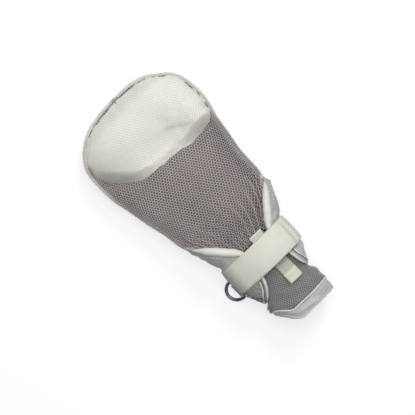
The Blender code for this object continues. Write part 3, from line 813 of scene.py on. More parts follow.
def make_palm_pad():
    rows = []
    for y in outline_stations(-0.109, TIP_Y):
        outer = tray_row(y, lambda y, s: 0.0)
        inner = tray_row(y, foam_depth, low=0.0012)
        shaped = []
        for i, point in enumerate(outer):
            edge = min(i, len(outer) - 1 - i) / (len(outer) - 1)
            out = Vector((point.x, 0, point.z - along(WIDEST_Z, y)))
            out = out.normalized() if out.length > 1e-6 else Vector((0, 0, -1))
            near = math.exp(-edge / 0.045)
            pucker = 0.0007 * near * math.sin(2 * math.pi * y / 0.0085 + 2.2 * wobble((y, edge, 0), 0.02))
            puff = 0.0010 * wobble(point, 0.030, 5.0) + 0.0005 * wobble(point, 0.012, 9.0)
            moved = point + out * (pucker + puff * min(1.0, edge * 9))
            moved.z = max(moved.z, 0.0004 + 0.0002 * wobble(point, 0.02, 1.0))
            shaped.append(moved)
        rows.append(shaped + inner[::-1])
    tip = tube_point(TIP_Y, 0.0) - Vector((0, 0.0006, 0))
    tip.z = rim_z(TIP_Y) - 0.0008
    return loft("palm_pad", rows, COTTON, closed=True, caps=True, tip=tip)


def palm_seam(point, k):
    """The palm pad is held at its rim, inside, on the ground and under the strap."""
    rim = smooth(-0.0034, -0.0008, point.z - rim_z(point.y))
    ground = smooth(0.0060, 0.0020, point.z)
    strap = smooth(-0.0925, -0.0880, point.y) * smooth(-0.0500, -0.0550, point.y)
    return 1.0 if k > 60 or point.y < -0.105 else max(rim, ground, strap)


palm_pad = inflate(make_palm_pad(), 122, palm_seam, 0.0018)
keep(palm_pad, "palm_cotton", "palm_cover", "palm_foam")


LINED_TO_Y = 0.0980


def lining_height(y, i, count=81):
    """A point of the lining's top at y, the i-th of count from its left rim to its right."""
    rim = angle_at_z(y, rim_z(y) - 0.0020)
    angle = math.pi - rim + (math.pi + 2 * rim) * i / (count - 1)
    depth = foam_depth(min(y, 0.058), abs(math.sin(angle)), 0.0006)
    return tube_point(y, angle, min(depth, 0.75 * half_width(y)))


def pad_seam(z_down, start):
    """A line round the outside of the palm pad, this far under its rim."""
    left, right = [], []
    for y in outline_stations(start, TIP_Y - 0.0004, 0.003, 24):
        z = max(rim_z(y) - z_down, along(UNDERSIDE_Z, y) + 0.0015)
        angle = angle_at_z(y, z)
        left.append(tube_point(y, math.pi - angle, -0.0009))
        right.append(tube_point(y, angle, -0.0009))
    return right + left[::-1]


def pad_out(point):
    return Vector((point.x, point.y - min(point.y, 0.09), -0.010)).normalized()


pad_line = onto(palm_pad, pad_seam(0.0052, -0.010), pad_out)
pad_sewing = cords("pad_stitches", stitches(pad_line, pad_out, 0.0030, 0.0015), 0.00028, STITCH)
keep(pad_sewing, "thread")


def make_lining():
    rows = []
    for y in outline_stations(-0.1070, LINED_TO_Y, 0.002):
        row = [lining_height(y, i) for i in range(81)]
        shaped = []
        for i, point in enumerate(row):
            edge = min(1.0, min(i, len(row) - 1 - i) / 12)
            crease = 0.0011 * wobble((point.x, point.y * 0.45, 0), 0.016, 4.0)
            crease += 0.0005 * wobble(point, 0.006, 2.0)
            shaped.append(point + Vector((0, 0, 0.0004 + abs(crease) * edge)))
        over = smooth(-0.020, -0.010, y)
        ends = []
        for side, first in ((-1, shaped[0]), (1, shaped[-1])):
            outer = tube_point(y, math.pi / 2 - side * (math.pi / 2 - angle_at_z(y, rim_z(y))), 0.0022)
            outer.z += 0.0012
            outer = first.lerp(outer, over)
            ends.append([
                outer.lerp(first, t) + Vector((0, 0, 0.0011 * over * math.sin(math.pi * t)))
                for t in steps(0, 1, 7)[:-1]
            ])
        rows.append(ends[0] + shaped + ends[1][::-1])
    return thicken(turn_out(loft("lining", rows, SHADED_LINING), lambda p: UPWARD), 0.0006)


lining = make_lining()
keep(lining, "grey_lining", "palm_lining")


def pad_front(x):
    """Where the cushion's near edge lies: drawn back at the middle, further out at its left end."""
    share = x / 0.066
    reach = 0.0310 * share * share if x < 0 else 0.0010 * share * share
    return 0.0580 + reach + 0.0012 * wobble((x, 0.3, 0.1), 0.016, 7.0)


def make_finger_pad():
    """The scooped cushion in the finger end; its near edge thins out over the lining."""
    depth = 2 * CORD_RADIUS
    rows = []
    front = 0.0550
    count = 81
    for y in outline_stations(front, TIP_Y, 0.0018, 18, depth):
        bottom = tray_row(y, lambda y, s: depth - 0.0002 * smooth(0.10, 0.14, y), low=-0.0026, count=count)
        top = []
        for i, point in enumerate(bottom):
            lined = lining_height(min(y, LINED_TO_Y), i, count).z + 0.0012
            ceiling = tube_point(y, angle_at_x(y, point.x, 0.0046), 0.0046).z
            forward = (y - front) / (TIP_Y - front)
            sideways = abs(point.x - along(MIDDLE_X, y)) / half_width(BULB_Y)
            edge = smooth(0.26, 0.96, math.hypot(forward, sideways * 0.98))
            low = 0.0205 + 0.004 * smooth(0.0, 0.5, forward)
            lined_low = low + (max(lined, low) - low) * smooth(LINED_TO_Y + 0.016, LINED_TO_Y + 0.002, y)
            z = max(low + (max(ceiling, low) - low) * edge, lined_low)
            z += 0.0007 * wobble((point.x, y, 0), 0.020, 2.0) + 0.0003 * wobble((point.x, y, 0), 0.007, 6.0)
            around = math.atan2(point.x - along(MIDDLE_X, y), y - 0.080)
            rim = smooth(0.70, 0.98, math.hypot(forward, sideways * 0.98))
            z += 0.0007 * rim * math.sin(around * 34 + 2.0 * wobble((point.x, y, 0), 0.03, 3.0))
            start = pad_front(point.x)
            thin = smooth(start - 0.0015, start + 0.0125 + 0.25 * (start - 0.058), y) ** 0.75
            z = (lined - 0.0030) + (z - lined + 0.0030) * thin
            z = min(z, max(ceiling, lined))
            point.z = min(point.z, lined - 0.0036 + 0.03 * thin)
            top.append(Vector((point.x, y, max(z, point.z + 0.0003))))
        rows.append(bottom + top[::-1])
    tip = Vector((along(MIDDLE_X, TIP_Y), TIP_Y - depth, along(WIDEST_Z, TIP_Y)))
    return loft("finger_pad", rows, PAD_COTTON, closed=True, caps=True, tip=tip)


def cushion_seam(point, k):
    """The cushion is held underneath, round its edge and at its thin front."""
    front = smooth(0.014, 0.004, point.y - pad_front(point.x))
    return 1.0 if k < 81 or k > 157 else max(front, smooth(85, 82, k), smooth(153, 156, k))


finger_pad = inflate(make_finger_pad(), 162, cushion_seam, 0.0009)
keep(finger_pad, "cushion", "finger_end_pad")

# ---------------------------------------------------------------- edge binding and its stitches


def edge_path():
    """The seam's line, from one flap round the finger end to the other."""
    inset = CORD_RADIUS + 0.0002
    reach = TIP_Y - inset
    ys = steps(-0.0125, BULB_Y, 60)[:-1] + [
        BULB_Y + (reach - BULB_Y) * math.sin(math.pi / 2 * i / 40) for i in range(40)
    ]
    right, left = (
        [Vector((along(MIDDLE_X, y) + side * half_width(y, inset), y, along(WIDEST_Z, y))) for y in ys]
        for side in (1, -1)
    )
    return right + [Vector((along(MIDDLE_X, TIP_Y), reach, along(WIDEST_Z, TIP_Y)))] + left[::-1]


def make_binding():
    path = resample(edge_path(), 0.0016)
    rows = []
    for i, centre, side, up in swept(path):
        pinch = 1 + 0.06 * math.sin(i * 1.35) + 0.16 * wobble(centre, 0.007, 3.0)
        radius = CORD_RADIUS * pinch
        row = []
        for k in range(12):
            turn = 2 * math.pi * k / 12
            across, rise = rounded(turn, 1.9)
            row.append(centre + side * (across * radius) + up * (rise * radius * 1.02))
        rows.append(row)
    return loft("binding", rows, BINDING, closed=True, caps=True)


binding = make_binding()
keep(binding, "binding_tape", "edge_binding")


def seam_out(point):
    away = Vector((point.x, point.y - min(point.y, 0.08), 0))
    return (away.normalized() + Vector((0, 0, 0.9))).normalized() if away.length > 0 else UPWARD


seam_line = [p + seam_out(p) * (CORD_RADIUS + 0.0002) for p in edge_path()]
seam_stitches = cords("seam_stitches", stitches(seam_line, seam_out, 0.0030, 0.0016), 0.00028, STITCH)
keep(seam_stitches, "thread")

# ---------------------------------------------------------------- wrist flaps and their rolls

FLAP_SPAN = (-0.1100, -0.0165)
ROLL_SPAN = (-0.1085, -0.0205)
LEFT_EDGE_X = (
    (-0.110, -0.0295), (-0.104, -0.0245), (-0.095, -0.0180), (-0.085, -0.0145), (-0.064, -0.0128),
    (-0.0565, -0.0140), (-0.045, -0.0238), (-0.030, -0.0375), (-0.0215, -0.0455), (-0.017, -0.0490),
)
RIGHT_EDGE_X = (
    (-0.110, 0.0290), (-0.104, 0.0272), (-0.095, 0.0250), (-0.085, 0.0238), (-0.064, 0.0238),
    (-0.0565, 0.0260), (-0.045, 0.0348), (-0.030, 0.0468), (-0.0215, 0.0535), (-0.017, 0.0555),
)
FLAP_THICK = (
    (-0.110, 0.0021), (-0.100, 0.0043), (-0.088, 0.0060), (-0.050, 0.0060), (-0.040, 0.0052),
    (-0.030, 0.0036), (-0.0215, 0.0024), (-0.017, 0.0018),
)
ROLL_RADIUS = (
    (-0.110, 0.0016), (-0.100, 0.0022), (-0.090, 0.0026), (-0.057, 0.0026), (-0.050, 0.0038),
    (-0.034, 0.0036), (-0.0215, 0.0020),
)


def edge_x(table, y, side):
    slope = (along(table, y + 0.001) - along(table, y - 0.001)) / 0.002
    return along(table, y) + side * (along(ROLL_RADIUS, y) * 0.6) * math.hypot(1.0, slope)


def flap_angle(table, side, y, share):
    """share runs from 0 at the palm's rim to 1 at the roll."""
    low = angle_at_z(y, along(RIM_Z, y) - 0.0004)
    high = angle_at_x(y, edge_x(table, y, side))
    high = max(high if side > 0 else math.pi - high, low + 0.08)
    angle = low + (high - low) * share
    return angle if side > 0 else math.pi - angle


def make_flap(name, table, side, seed):
    rows = []
    for y in steps(*FLAP_SPAN, 96):
        thick = along(FLAP_THICK, y)
        ends = smooth(-0.1100, -0.1040, y) * smooth(-0.0165, -0.0260, y)
        strap = smooth(-0.0905, -0.0865, y) * smooth(-0.0525, -0.0565, y)
        outer, inner = [], []
        for i in range(41):
            share = i / 40
            angle = flap_angle(table, side, y, share)
            crown = math.sin(math.pi * min(max(share, 0.0), 1.0)) ** 0.6
            point = tube_point(y, angle)
            phase = 2 * math.pi * (y + 0.012 * share) / 0.0115 + 2.5 * wobble(point, 0.02, seed)
            crease = 0.0007 * math.sin(phase)
            crease *= math.exp(-(1 - share) / 0.16) * (1 - strap)
            soft = 0.0007 * wobble(point, 0.016, seed) + 0.00025 * wobble(point, 0.006, seed)
            full = -0.0004 if y < -0.0715 else 0.0004 if side < 0 else 0.0028
            rise = (full * crown * ends * (1 - strap) - 0.0010 * (1 - ends) - 0.0009 * (1 - crown)
                    + crease + soft * (1 - 0.7 * strap))
            outer.append(tube_point(y, angle, -rise))
            inner.append(tube_point(y, angle, thick))
        rows.append(outer + inner[::-1])
    return loft(name, rows, LEFT_FLAP_SHADED if side < 0 else RIGHT_FLAP_SHADED, closed=True, caps=True)


def make_roll(name, table, seed):
    path, radii = [], []
    for y in steps(*ROLL_SPAN, 90):
        radius = along(ROLL_RADIUS, y)
        depth = max(along(FLAP_THICK, y) - radius - 0.0002, radius)
        depth = depth if y < -0.055 else along(NET_DEPTH, y) - radius - 2 * GAP
        path.append(tube_point(y, angle_at_x(y, along(table, y)), min(depth, 0.0018)))
        radii.append(radius * (0.62 + 0.50 * smooth(-0.088, -0.080, y)))
    rows = []
    for i, centre, side, up in swept(path):
        end = min(1.0, 0.35 + min(i, len(path) - 1 - i) / 7)
        pinch = 1 + 0.07 * wobble(centre, 0.009, seed) + 0.035 * math.sin(i * 0.9 + seed)
        radius = radii[i] * pinch * end
        rows.append([
            centre + side * (math.cos(t) * radius) + up * (math.sin(t) * radius)
            for t in steps(0, 2 * math.pi * 15 / 16, 16)
        ])
    return loft(name, rows, ROLL_COTTON, closed=True, caps=True)


def flap_seam(point, k):
    """A flap is held at the rim, at its roll, inside and under the strap."""
    strap = smooth(-0.0915, -0.0880, point.y) * smooth(-0.0510, -0.0550, point.y)
    ends = max(smooth(-0.1075, -0.1095, point.y), smooth(-0.0230, -0.0190, point.y))
    return 1.0 if k > 40 else max(smooth(5, 1, k), smooth(36, 39, k), strap, ends)


def roll_seam(table, side):
    """The stitched line where a roll meets its flap."""
    line = []
    for y in steps(-0.1040, -0.0240, 70):
        if -0.0880 < y < -0.0550:
            continue
        x = along(table, y) + side * (along(ROLL_RADIUS, y) * 1.75)
        line.append(tube_point(y, angle_at_x(y, x), -0.0004))
    return line


flaps = {}
for side, word, table, seed in ((-1, "left", LEFT_EDGE_X, 11.0), (1, "right", RIGHT_EDGE_X, 17.0)):
    flap = inflate(make_flap("padded_flap_" + word, table, side, seed), 82, flap_seam, 0.0014)
    keep(flap, "flap_cotton", "flap_" + word)
    roll = make_roll("edge_roll_" + word, table, seed)
    keep(roll, "binding_tape", "flap_roll_" + word)
    line = roll_seam(table, side)
    upper = [p for p in line if p.y > -0.056]
    flaps[side] = flap
    upper = onto(flap, upper, Vector((side * 0.5, 0, 0.87)))
    runs = stitches([p + Vector((side * 0.0010, 0, 0)) for p in upper], UPWARD, 0.0026, 0.0013)
    keep(cords("roll_stitches_" + word, runs, 0.00024, STITCH), "thread")


def flap_line(table, side, inward, start, end):
    """A line along a flap, this far out from its roll, laid on the flap."""
    line = [tube_point(y, angle_at_x(y, along(table, y) + side * inward)) for y in steps(start, end, 40)]
    return onto(flaps[side], line, Vector((side * 0.4, 0, 0.92)), 0.0002)


# The second line is a dark cord on each flap, on the cuff side of the strap, beside the piping: a painted
# shadow line.
for name, radius, look, slot, ends, left, right in (
    ("wrist_piping", 0.0006, PIPING, "thread", (-0.1075, -0.0880), 0.0042, 0.0040),
    ("wrist_shadow_line", 0.0005, DARK_TAPE_AND_SHADOW, "hem_tape", (-0.1085, -0.0870), 0.0028, 0.0027),
):
    lines = [flap_line(LEFT_EDGE_X, -1, left, *ends), flap_line(RIGHT_EDGE_X, 1, right, *ends)]
    keep(cords(name, lines, radius, look, 8), slot)


def wrist_out(point):
    return Vector((point.x, 0, point.z - WRIST_MIDDLE_Z)).normalized()


side_rows = []
for y in steps(-0.1095, -0.0872, 26):
    line = [tube_point(y, math.radians(a)) for a in steps(158, 188, 11)]
    side_rows.append(onto(flaps[-1], line, wrist_out, 0.0001))
side_tape = thicken(turn_out(loft("side_seam_tape", side_rows, DARK_TAPE_AND_SHADOW), lambda p: LEFTWARD), 0.0006)
keep(side_tape, "hem_tape")
side_runs = []
for a in (163.0, 172.0):
    line = onto(side_tape, [tube_point(y, math.radians(a)) for y in steps(-0.1085, -0.0880, 30)], wrist_out)
    side_runs += stitches(line, wrist_out, 0.0032, 0.0016)
keep(cords("side_stitches", side_runs, 0.00034, STITCH), "thread")

# ---------------------------------------------------------------- strap

STRAP_MIDDLE_Y = -0.0715
STRAP_SPAN = (-0.0865, -0.0565)
BASE_THICK, TAIL_THICK, PATCH_THICK = 0.0024, 0.0028, 0.0008
HINGE = 176.0
TAIL_ROOT = 184.0  # the tail laps the base's end here
FOLD_SPAN = 12.0
GROOVES = (46.95, 40.2)
TAIL_WAVES = (31.0, 0.0006, 1.4)  # seed, wave height and crown
BASE_WAVES = (21.0, 0.0005, 1.0)


def strap_point(angle, lift, y=STRAP_MIDDLE_Y):
    return tube_point(STRAP_MIDDLE_Y, math.radians(angle), -lift) + Vector((0, y - STRAP_MIDDLE_Y, 0))


def tail_lift(angle):
    high = GAP + BASE_THICK + 2 * PATCH_THICK + 3 * 0.0003
    return GAP + (high - GAP) * smooth(130.0, 81.0, angle)


def ribbon_lift(angle, t, lift, thick, height, seed, wave, crowned):
    """How far out a point of the webbing lies: t runs across it and height through it, from 0 to 1."""
    flat = strap_point(angle, 0.0, STRAP_SPAN[0] + (STRAP_SPAN[1] - STRAP_SPAN[0]) * t)
    roll = wave * wobble(flat, 0.022, seed) + wave * 0.5 * wobble(flat, 0.010, seed + 2)
    crown = -0.0009 * crowned * abs(2 * t - 1) ** 3 * height
    curl = -0.0003 * abs(2 * t - 1) ** 6 * (crowned > 0)
    return lift + thick * height + (roll + curl) * (0.3 + 0.7 * height) + crown


def ribbon(name, angles, lift_at, thick_at, span, material, seed=1.0, wave=0.0005, crowned=1.0):
    """A strap over the wrist with rounded edges: its section is swept along angles round the wrist."""
    rows = []
    width = span[1] - span[0]
    across = (0.08, 0.2, 0.35, 0.5, 0.65, 0.8, 0.92)
    profile = [(0.0, 0.5), (0.006, 0.16), (0.022, 0.0)] + [(t, 0.0) for t in across]
    profile += [(0.978, 0.0), (0.994, 0.16), (1.0, 0.5), (0.994, 0.84), (0.978, 1.0)]
    profile += [(t, 1.0) for t in across[::-1]] + [(0.022, 1.0), (0.006, 0.84)]
    for angle in angles:
        row = []
        for t, height in profile:
            lift = ribbon_lift(angle, t, lift_at(angle), thick_at(angle), height, seed, wave, crowned)
            shift = 0.0004 * wobble((angle * 0.0008, t * 0.003, seed), 0.012)
            row.append(strap_point(angle, lift, span[0] + width * t + shift))
        rows.append(row)
    return loft(name, rows, material, closed=True, caps=True)


base = ribbon(
    "strap_under", steps(182.0, 438.0, 150), lambda a: GAP, lambda a: BASE_THICK, STRAP_SPAN, WEBBING,
    *BASE_WAVES,
)
keep(base, "webbing", "strap_base")


def tail_thick(angle):
    """The tail is one layer of webbing, folded over and sewn at its end."""
    fold = 0.0014 * smooth(46.6, 45.0, angle)
    groove = 0.0016 * math.exp(-(((angle - GROOVES[0]) / 0.60) ** 2))
    groove += 0.0010 * math.exp(-(((angle - GROOVES[1]) / 0.45) ** 2))
    return TAIL_THICK * (0.90 - 0.45 * smooth(39.6, 38.0, angle)) + fold - groove


def over_fold(made):
    """The webbing is one length. This only bakes the piece's placement into its points; the two points
    at the hinge are worked out and not used.
    """
    low, high = (strap_point(angle, GAP + BASE_THICK / 2) for angle in (HINGE, HINGE - FOLD_SPAN))
    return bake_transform(made)


tail_angles = steps(TAIL_ROOT, 50.0, 126) + steps(49.5, 38.0, 56)
tail = ribbon("strap_over", tail_angles, tail_lift, tail_thick, STRAP_SPAN, WEBBING, *TAIL_WAVES)
over_fold(tail)
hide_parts("strap_tail", "strap_end_hem")

for name, node, lift, body, under in (
    ("loop_tape", "loop_patch", GAP + BASE_THICK + 0.0002, "mitt", "strap_under"),
    ("hook_tape", "hook_patch", GAP + BASE_THICK + 0.0005 + PATCH_THICK, "strap_tail", "strap_over"),
):
    tape = ribbon(name, steps(50.0, 74.0, 22), lambda a, lift=lift: lift, lambda a: PATCH_THICK,
                  (STRAP_SPAN[0] + 0.003, STRAP_SPAN[1] - 0.003), HOOK, 5.0, 0.0001, 0.0)
    keep(tape, "hook_and_loop", node, body=body)


def sewn_row(angles, t, lift_at, thick_at, seed, wave, crowned):
    """A line on the webbing's outer face, at one share of its width."""
    y = STRAP_SPAN[0] + (STRAP_SPAN[1] - STRAP_SPAN[0]) * t
    return [
        strap_point(a, ribbon_lift(a, t, lift_at(a), thick_at(a), 1.0, seed, wave, crowned) + 0.0001, y)
        for a in angles
    ]


def tail_row(angles, t):
    return sewn_row(angles, t, tail_lift, tail_thick, *TAIL_WAVES)


tail_runs = []
for t in (0.085, 0.915):
    tail_runs += stitches(tail_row(steps(183.0, 48.0, 99), t), wrist_out)
for angle in (43.6, 41.8):
    tail_runs += stitches([tail_row([angle], t)[0] for t in steps(0.07, 0.93, 24)], wrist_out)
# Dark cords laid in the end hem's two grooves: painted shade in the creases.
groove_shade_lines = [[tail_row([a], t)[0] for t in steps(0.01, 0.99, 30)] for a in GROOVES]
keep(cords("tail_groove_shade", groove_shade_lines, 0.00050, CUFF_NET_AND_GROOVE_SHADE, 8), "thread", body="strap_tail")
tail_sewing = cords("tail_stitches", tail_runs, 0.00022, STITCH)
over_fold(tail_sewing)
base_runs = []
for t in (0.085, 0.915):
    line = sewn_row(steps(186.0, 396.0, 160), t, lambda a: GAP, lambda a: BASE_THICK, *BASE_WAVES)
    base_runs += stitches(line, wrist_out)
keep(cords("base_stitches", base_runs, 0.00022, STITCH), "thread")


def zigzag(angle):
    """A bar of close zigzag stitching across the strap."""
    run = []
    for i in range(46):
        y = STRAP_MIDDLE_Y - 0.0115 + 0.023 * i / 45
        run.append(strap_point(angle + (1.35 if i % 2 else -1.35), BASE_THICK + GAP + 0.0002, y))
    return run


for word, angle in (("left", 236.0), ("right", 304.0)):
    keep(cords("zigzag_" + word, [zigzag(angle)], 0.00028, STITCH), "thread", "bartack_" + word)

# ---------------------------------------------------------------- the cuff's shape and the locator tab

CUFF_HALF_WIDTH = (
    (-0.145, 0.0308), (-0.128, 0.0318), (-0.120, 0.0316), (-0.112, 0.0288), (-0.109, 0.0285),
    (-0.100, 0.0300), (-0.090, 0.0318), (-0.0575, 0.0318),
)
CUFF_TOP_Z = ((-0.145, 0.0470), (-0.128, 0.0485), (-0.113, 0.0470), (-0.090, 0.0496), (-0.0575, 0.0500))
CUFF_BOTTOM_Z = (
    (-0.145, 0.0070), (-0.128, 0.0080), (-0.113, 0.0128), (-0.106, 0.0135), (-0.090, 0.0122),
    (-0.0575, 0.0122),
)


def cuff_point(y, angle, depth=0.0, rough=0.0):
    """A point of the cuff's tube, drawn back at its left."""
    top, bottom = along(CUFF_TOP_Z, y), along(CUFF_BOTTOM_Z, y)
    across, up = rounded(angle)
    depth = depth - rough
    x = along(MIDDLE_X, y) + (along(CUFF_HALF_WIDTH, y) - depth) * across
    side = min(max((x + 0.012) / -0.019, 0.0), 1.0)
    back = 0.018 * side * side * (3 - 2 * side) * min(max((y + 0.1125) / -0.0325, 0.0), 1.0)
    return Vector((x, y + back, (top + bottom) / 2 + ((top - bottom) / 2 - depth) * up))


def wrist_top_z(x, y):
    share = min(abs(x - along(MIDDLE_X, y)) / along(CUFF_HALF_WIDTH, y), 1.0)
    top, bottom = along(CUFF_TOP_Z, y), along(CUFF_BOTTOM_Z, y)
    cuff = (top + bottom) / 2 + (top - bottom) / 2 * (1 - share**BODY_POWER) ** (1 / BODY_POWER)
    depth = along(NET_DEPTH, y)
    lies = tube_point(y, angle_at_x(y, x, depth), depth).z if y > -0.0585 else 0.0
    return max(cuff, lies)


TAB_SPAN = (-0.1122, -0.0508)
TAB_LEFT_X, TAB_WIDTH = 0.0025, 0.015
TAB_LIFT, TAB_THICK = 0.0009, 0.0013


def tab_top(x, y):
    """The top of the tab: it is doubled where its end is folded over."""
    wave = 0.0005 * wobble((x, y, 0), 0.014, 8.0)
    folded = 0.0012 * smooth(-0.1010, -0.1022, y) + 0.0010 * smooth(-0.0550, -0.0535, y)
    return wrist_top_z(x, y) + TAB_LIFT + TAB_THICK + wave + 0.0006 * smooth(-0.100, -0.112, y) + folded


def make_tab():
    rows = []
    for y in steps(*TAB_SPAN, 70):
        low, high = [], []
        end = min(1.0, (0.35 + min(y - TAB_SPAN[0], TAB_SPAN[1] - y) / 0.0012))
        for t in (0.0, 0.02, 0.06, 0.2, 0.35, 0.5, 0.65, 0.8, 0.94, 0.98, 1.0):
            x = TAB_LEFT_X + TAB_WIDTH * t + 0.0004 * wobble((t * 0.01, y, 4.0), 0.012, 3.0)
            round_off = 0.0005 if t in (0.0, 1.0) else 0.00012 if t in (0.02, 0.98) else 0.0
            top, under = tab_top(x, y), wrist_top_z(x, y) + TAB_LIFT
            middle = (top + under) / 2
            low.append(Vector((x, y, middle + (under + round_off - middle) * end)))
            high.append(Vector((x, y, middle + (top - round_off - middle) * end)))
        rows.append(low + high[::-1])
    return loft("wrist_tab", rows, TAB_WEBBING, closed=True, caps=True)


tab = make_tab()
keep(tab, "webbing", "locator_tab")
tab_runs = []
for y in (-0.1106, -0.1034, -0.0522):
    tab_runs += stitches([Vector((x, y, tab_top(x, y) + 0.0001)) for x in steps(0.0035, 0.0165, 12)], UPWARD)
keep(cords("tab_stitches", tab_runs, 0.00022, STITCH), "thread")

# ---------------------------------------------------------------- D-ring and its webbing

RING_MIDDLE_Y, RING_ANGLE, RING_HANG = -0.0815, 212.0, math.radians(62)
RING_RADIUS, RING_WIDTH, RING_HEIGHT, RING_CORNER = 0.0018, 0.0214, 0.0152, 0.0030
RING_LIFT = GAP + BASE_THICK + GAP + 0.0009
bar_lift = RING_LIFT + 0.0008 + RING_RADIUS
BAR = strap_point(RING_ANGLE, bar_lift, RING_MIDDLE_Y)
bar_turn = math.degrees(0.02)
ahead_dir = strap_point(RING_ANGLE + bar_turn, bar_lift) - strap_point(RING_ANGLE - bar_turn, bar_lift)
ahead_dir.normalize()
outward = Vector((ahead_dir.z, 0, -ahead_dir.x))
if outward.dot(wrist_out(BAR)) < 0:
    outward = -outward


def make_ring():
    down = Vector((-math.sin(RING_HANG), 0, -math.cos(RING_HANG)))
    half, corner = RING_WIDTH / 2, RING_CORNER
    quarter, deep = math.pi / 2, RING_HEIGHT - corner
    side = [
        (half - corner + corner * math.sin(t), corner * (1 - math.cos(t))) for t in steps(0, quarter, 12)
    ]
    side += [(half * math.cos(t), corner + deep * math.sin(t)) for t in steps(0, quarter, 28)[1:]]
    full = side + [(-a, d) for a, d in side[-2::-1]]
    path = [BAR + Vector((0, a, 0)) + down * d for a, d in full]
    flat_normal = AHEAD.cross(down)
    rows = []
    count = len(path)
    for i, centre in enumerate(path + path[:1]):
        before, after = path[(i - 1) % count], path[(i + 1) % count]
        ahead = (after - before).normalized()
        across = ahead.cross(flat_normal).normalized()
        rows.append([
            centre + (across * math.cos(t) + flat_normal * math.sin(t)) * RING_RADIUS
            for t in steps(0, 2 * math.pi * 19 / 20, 20)
        ])
    return loft("tether_ring", rows, RING, closed=True)


ring = make_ring()
keep(ring, "ring_steel", "d_ring", body="d_ring")


def make_ring_webbing():
    radius = RING_RADIUS + 0.0007
    inner = [strap_point(a, RING_LIFT, RING_MIDDLE_Y) for a in steps(192.5, 205.0, 8)]
    outer = [strap_point(a, RING_LIFT + 0.0005, RING_MIDDLE_Y) for a in steps(192.5, 205.0, 8)]
    around = [
        BAR - outward * (radius * math.cos(t)) + ahead_dir * (radius * math.sin(t))
        for t in steps(0, math.pi + 0.5, 18)
    ]
    path = resample(inner + around + outer[::-1], 0.0008)
    rows = [[centre + Vector((0, y, 0)) for y in steps(-0.0075, 0.0075, 9)] for centre in path]
    webbing = turn_out(loft("ring_tape", rows, WEBBING), lambda p: p - BAR)
    return thicken(webbing, 0.0009)


ring_tape = make_ring_webbing()
keep(ring_tape, "webbing", "ring_webbing")

# ---------------------------------------------------------------- cuff


def cuff_rough(y, angle):
    """Soft folds of the cuff, stronger towards its open end."""
    place = (math.cos(angle) * 0.03, y, math.sin(angle) * 0.03)
    grow = smooth(-0.088, -0.120, y)
    ring_fold = 0.0006 * math.sin(y * 520 + 2.4 * math.sin(angle * 2) + 3 * wobble(place, 0.03, 2.0))
    return grow * (0.0011 * wobble(place, 0.016, 6.0) + ring_fold * 0.8)


def cuff_turns(count):
    """Angles all round the cuff, from its top back to its top."""
    return [math.pi / 2 - 2 * math.pi * k / count for k in range(count + 1)]


def cuff_sleeve(name, start, end, depth, material, rows_count, around=96, puff=None):
    rows = []
    for y in steps(start, end, rows_count):
        inset = depth - (puff(y) if puff else 0.0)
        rows.append([cuff_point(y, a, inset, cuff_rough(y, a)) for a in cuff_turns(around)[:-1]])
    return turn_out(loft(name, rows, material, closed=True), lambda p: Vector((p.x, 0, p.z - 0.03)))


CUFF_SEAM_Y = -0.1318

cuff_inner = cuff_sleeve("cuff_sleeve_lining", -0.0575, CUFF_SEAM_Y, 0.0015, CUFF_LINING, 46)
thicken(cuff_inner, 0.0008, -1)
keep(cuff_inner, "grey_lining", "cuff_lining")


KNIT_SPAN = (-0.0580, -0.1320)
KNIT_HALF_WIDTH = 0.0835  # of the knit laid flat


def make_cuff_net():
    ys = np.array(steps(*KNIT_SPAN, 60))
    knots, threads = hex_grid(0.172, 0.0765, 0.00265, 0.0030)
    turns = np.linspace(-1, 1, 121)
    tables = []
    for y in ys:
        ring_points = [cuff_point(y, math.pi / 2 - math.pi * s, 0.0002) for s in turns]
        at = np.concatenate([[0], np.cumsum([(b - a).length for a, b in zip(ring_points, ring_points[1:])])])
        tables.append(at - at[60])
    inside = [0.0 <= v <= 0.0742 and abs(u) <= KNIT_HALF_WIDTH for u, v in knots]
    used = [(a, b) for a, b in threads if inside[a] or inside[b]]
    vertices = {}
    for k in {k for pair in used for k in pair}:
        u, v = knots[k]
        y = KNIT_SPAN[0] - min(max(v, 0.0), 0.0740)
        row = int(np.argmin(np.abs(ys - y)))
        half = tables[row][-1]
        share = float(np.interp(u / KNIT_HALF_WIDTH * half, tables[row], turns))
        angle = math.pi / 2 - math.pi * share
        vertices[k] = np.array(cuff_point(y, angle, 0.0002, cuff_rough(y, angle)))
    return strut_net("cuff_knit", vertices, used, 0.00055, CUFF_NET_AND_GROOVE_SHADE)


cuff_net = make_cuff_net()
keep(cuff_net, "net_thread", "cuff_net")

HEM_STITCH_Y = (-0.1345, -0.1425)
PIPING_Y = -0.1322


def hem_puff(y):
    """The hem is a folded tube with two sewn channels."""
    groove = sum(math.exp(-(((y - at) / 0.0008) ** 2)) for at in HEM_STITCH_Y)
    return 0.0005 - 0.0007 * groove


hem = cuff_sleeve("cuff_edge", CUFF_SEAM_Y, -0.1449, 0.0, HEM, 44, 144, hem_puff)
thicken(hem, 0.0024, -1)
keep(hem, "hem_tape", "cuff_hem")
piping = [cuff_point(PIPING_Y, a, 0.0, 0.0007 + cuff_rough(PIPING_Y, a)) for a in cuff_turns(160)]
keep(cords("hem_piping", [piping], 0.0006, PIPING, 8), "hem_tape")
hem_runs = []
for y in HEM_STITCH_Y:
    line = [cuff_point(y, a, 0.0, 0.0001 + cuff_rough(y, a)) for a in cuff_turns(120)]
    hem_runs += stitches(line, lambda p: Vector((p.x, 0, p.z - 0.028)).normalized(), 0.0026, 0.0014)
keep(cords("hem_stitches", hem_runs, 0.00026, GREY_STITCH), "thread")

